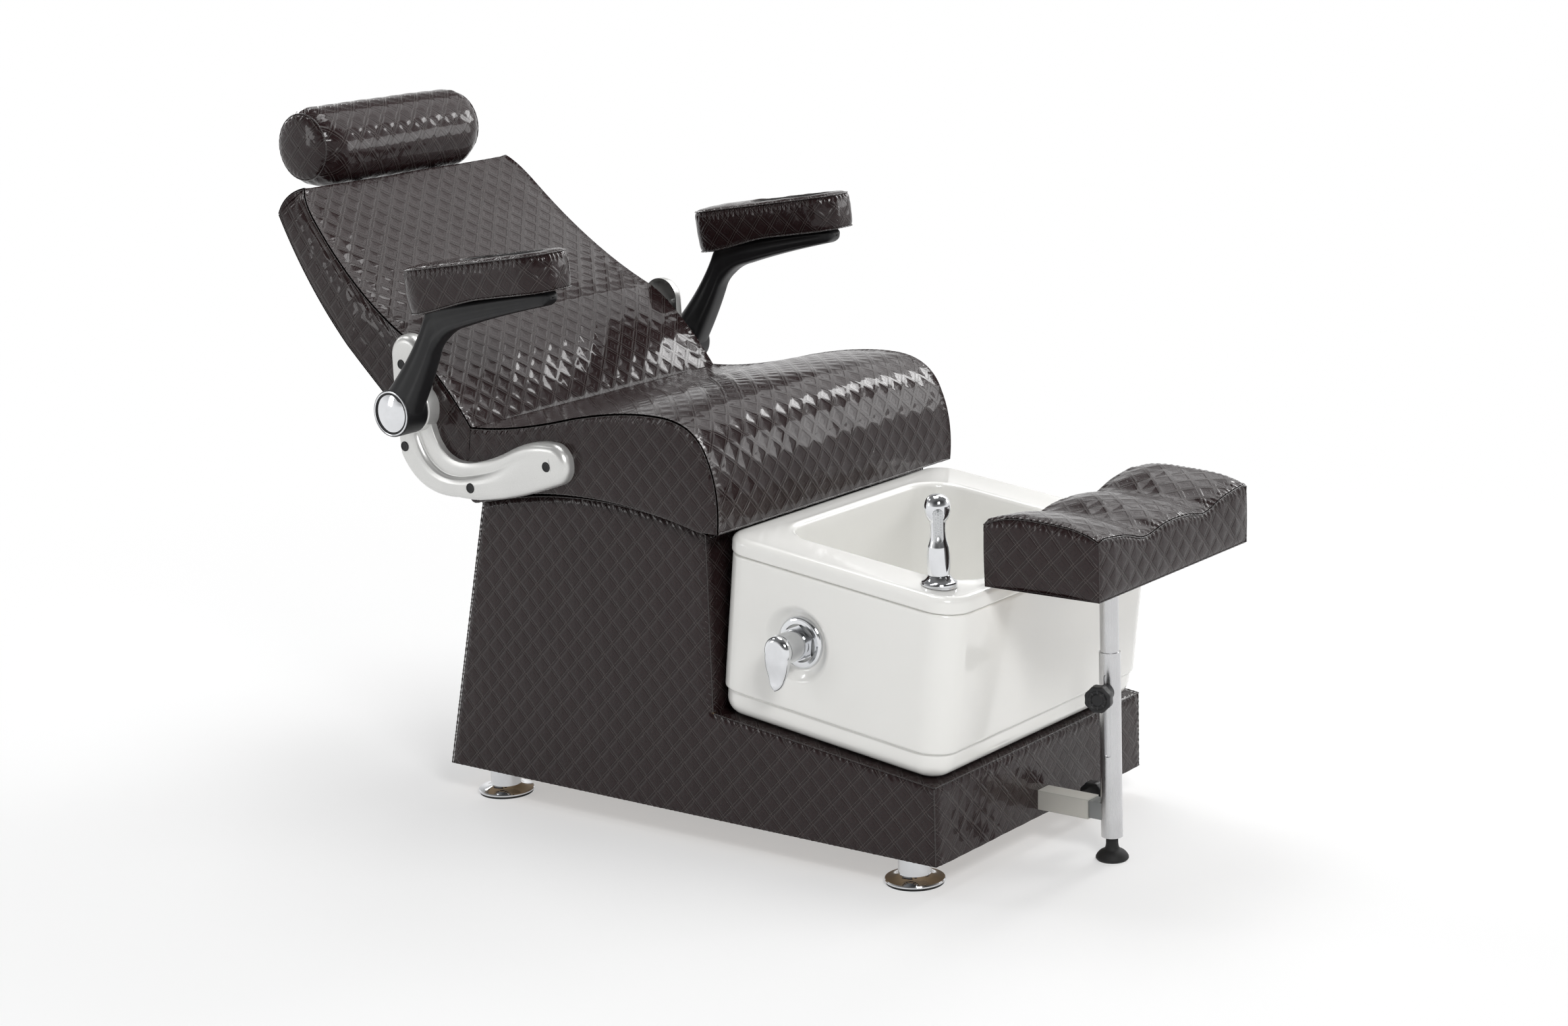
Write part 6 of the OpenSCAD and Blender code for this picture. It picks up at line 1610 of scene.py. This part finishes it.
# ---------------------------------------------------------------- floor, backdrop and light
def stage():
    me = bpy.data.meshes.new("floor")
    rings = [0.0] + [0.25 * 1.16 ** i for i in range(38)]
    n = 72
    v, f = [(0.0, 0.0, 0.0)], []
    for r in rings[1:]:
        v += [(r * math.cos(2 * math.pi * j / n), r * math.sin(2 * math.pi * j / n), 0.0)
              for j in range(n)]
    f += [(0, 1 + j, 1 + (j + 1) % n) for j in range(n)]
    for i in range(len(rings) - 2):
        a, b = 1 + i * n, 1 + (i + 1) * n
        f += [(a + j, b + j, b + (j + 1) % n, a + (j + 1) % n) for j in range(n)]
    me.from_pydata(v, [], f)
    ob = bpy.data.objects.new("floor", me)
    bpy.context.scene.collection.objects.link(ob)
    k = Mat("studio_floor", (0.86, 0.86, 0.86), 0.8, Specular_IOR_Level=0.1)
    # White where it is seen, and most so away from the object, so that the shadow stays
    at = k.node("ShaderNodeTexCoord").outputs["Object"]
    far = k.node("ShaderNodeVectorMath", p_operation="LENGTH", i0=at).outputs["Value"]
    ray = k.node("ShaderNodeLightPath").outputs
    seen = k.math("ADD", k.math("ADD", ray["Is Camera Ray"], ray["Is Glossy Ray"]),
                  ray["Is Transmission Ray"])
    seen.node.use_clamp = True
    glow = k.node("ShaderNodeEmission", Strength=1.0).outputs[0]
    mix = k.node("ShaderNodeMixShader", i1=k.bsdf.outputs[0], i2=glow,
                 i0=k.math("MULTIPLY", k.span(far, 0.5, 2.6, 0.42, 1.0), seen))
    out = next(x for x in k.t.nodes if x.type == "OUTPUT_MATERIAL")
    k.put(out.inputs["Surface"], mix.outputs[0])
    me.materials.append(k.m)


def area(name, at, aim, size, power, tint=(1, 1, 1)):
    li = bpy.data.lights.new(name, "AREA")
    li.shape = "RECTANGLE"
    li.size, li.size_y = size
    li.energy = power
    li.color = tint
    ob = bpy.data.objects.new(name, li)
    bpy.context.scene.collection.objects.link(ob)
    ob.location = at
    ob.rotation_euler = (Vector(aim) - Vector(at)).to_track_quat("-Z", "Y").to_euler()


def lights():
    world = bpy.data.worlds.new("studio")
    bpy.context.scene.world = world
    world.use_nodes = True
    k = Nodes(world.node_tree)
    bg = next(n for n in k.t.nodes if n.type == "BACKGROUND")
    out = next(n for n in k.t.nodes if n.type == "OUTPUT_WORLD")
    # A studio sky: pale all round at eye level, dimmer overhead
    at = k.node("ShaderNodeTexCoord").outputs["Generated"]
    up = k.node("ShaderNodeSeparateXYZ", i0=at).outputs[2]
    # Above eye level the studio is darker behind the photographer
    side = k.node("ShaderNodeVectorMath", p_operation="DOT_PRODUCT", i0=at, i1=(-0.6, -0.8, 0.0))
    both = k.math("MULTIPLY", k.span(side.outputs["Value"], 0.1, 0.7), k.span(up, 0.07, 0.2))
    dark = k.math("MULTIPLY_ADD", both, -0.75, 1.0)
    k.put(bg.inputs[1], k.math("MULTIPLY", k.span(up, 0.06, 0.6, 1.0, 0.2), dark))
    k.put(bg.inputs[0], (1, 1, 1, 1))
    k.put(out.inputs["Surface"], bg.outputs[0])
    area("key", (-2.3, -3.2, 3.0), (0, -0.1, 0.4), (1.1, 1.1), 93)
    area("top", (0.4, 0.3, 3.4), (0, 0, 0.4), (1.2, 1.8), 46)
    area("fill", (3.0, -0.8, 2.3), (0, 0, 0.5), (0.7, 1.3), 34)
    area("low", (2.7, -1.9, 1.5), (0, 0, 0.6), (1.3, 1.0), 16)
    area("rim", (-2.5, 2.1, 1.3), (0, 0.1, 0.5), (0.6, 0.8), 6)
    area("panel", (2.6, 0.2, 3.0), (0, 0.2, 0.6), (2.2, 2.2), 24)
    area("edge", (-0.9, 2.0, 2.6), (-0.2, 0, 0.5), (0.5, 0.5), 9)
    area("back", (0.8, 3.2, 1.9), (0, 0, 0.6), (1.8, 0.7), 28)


stage()
lights()
scene = bpy.context.scene
scene.view_settings.view_transform = "Standard"
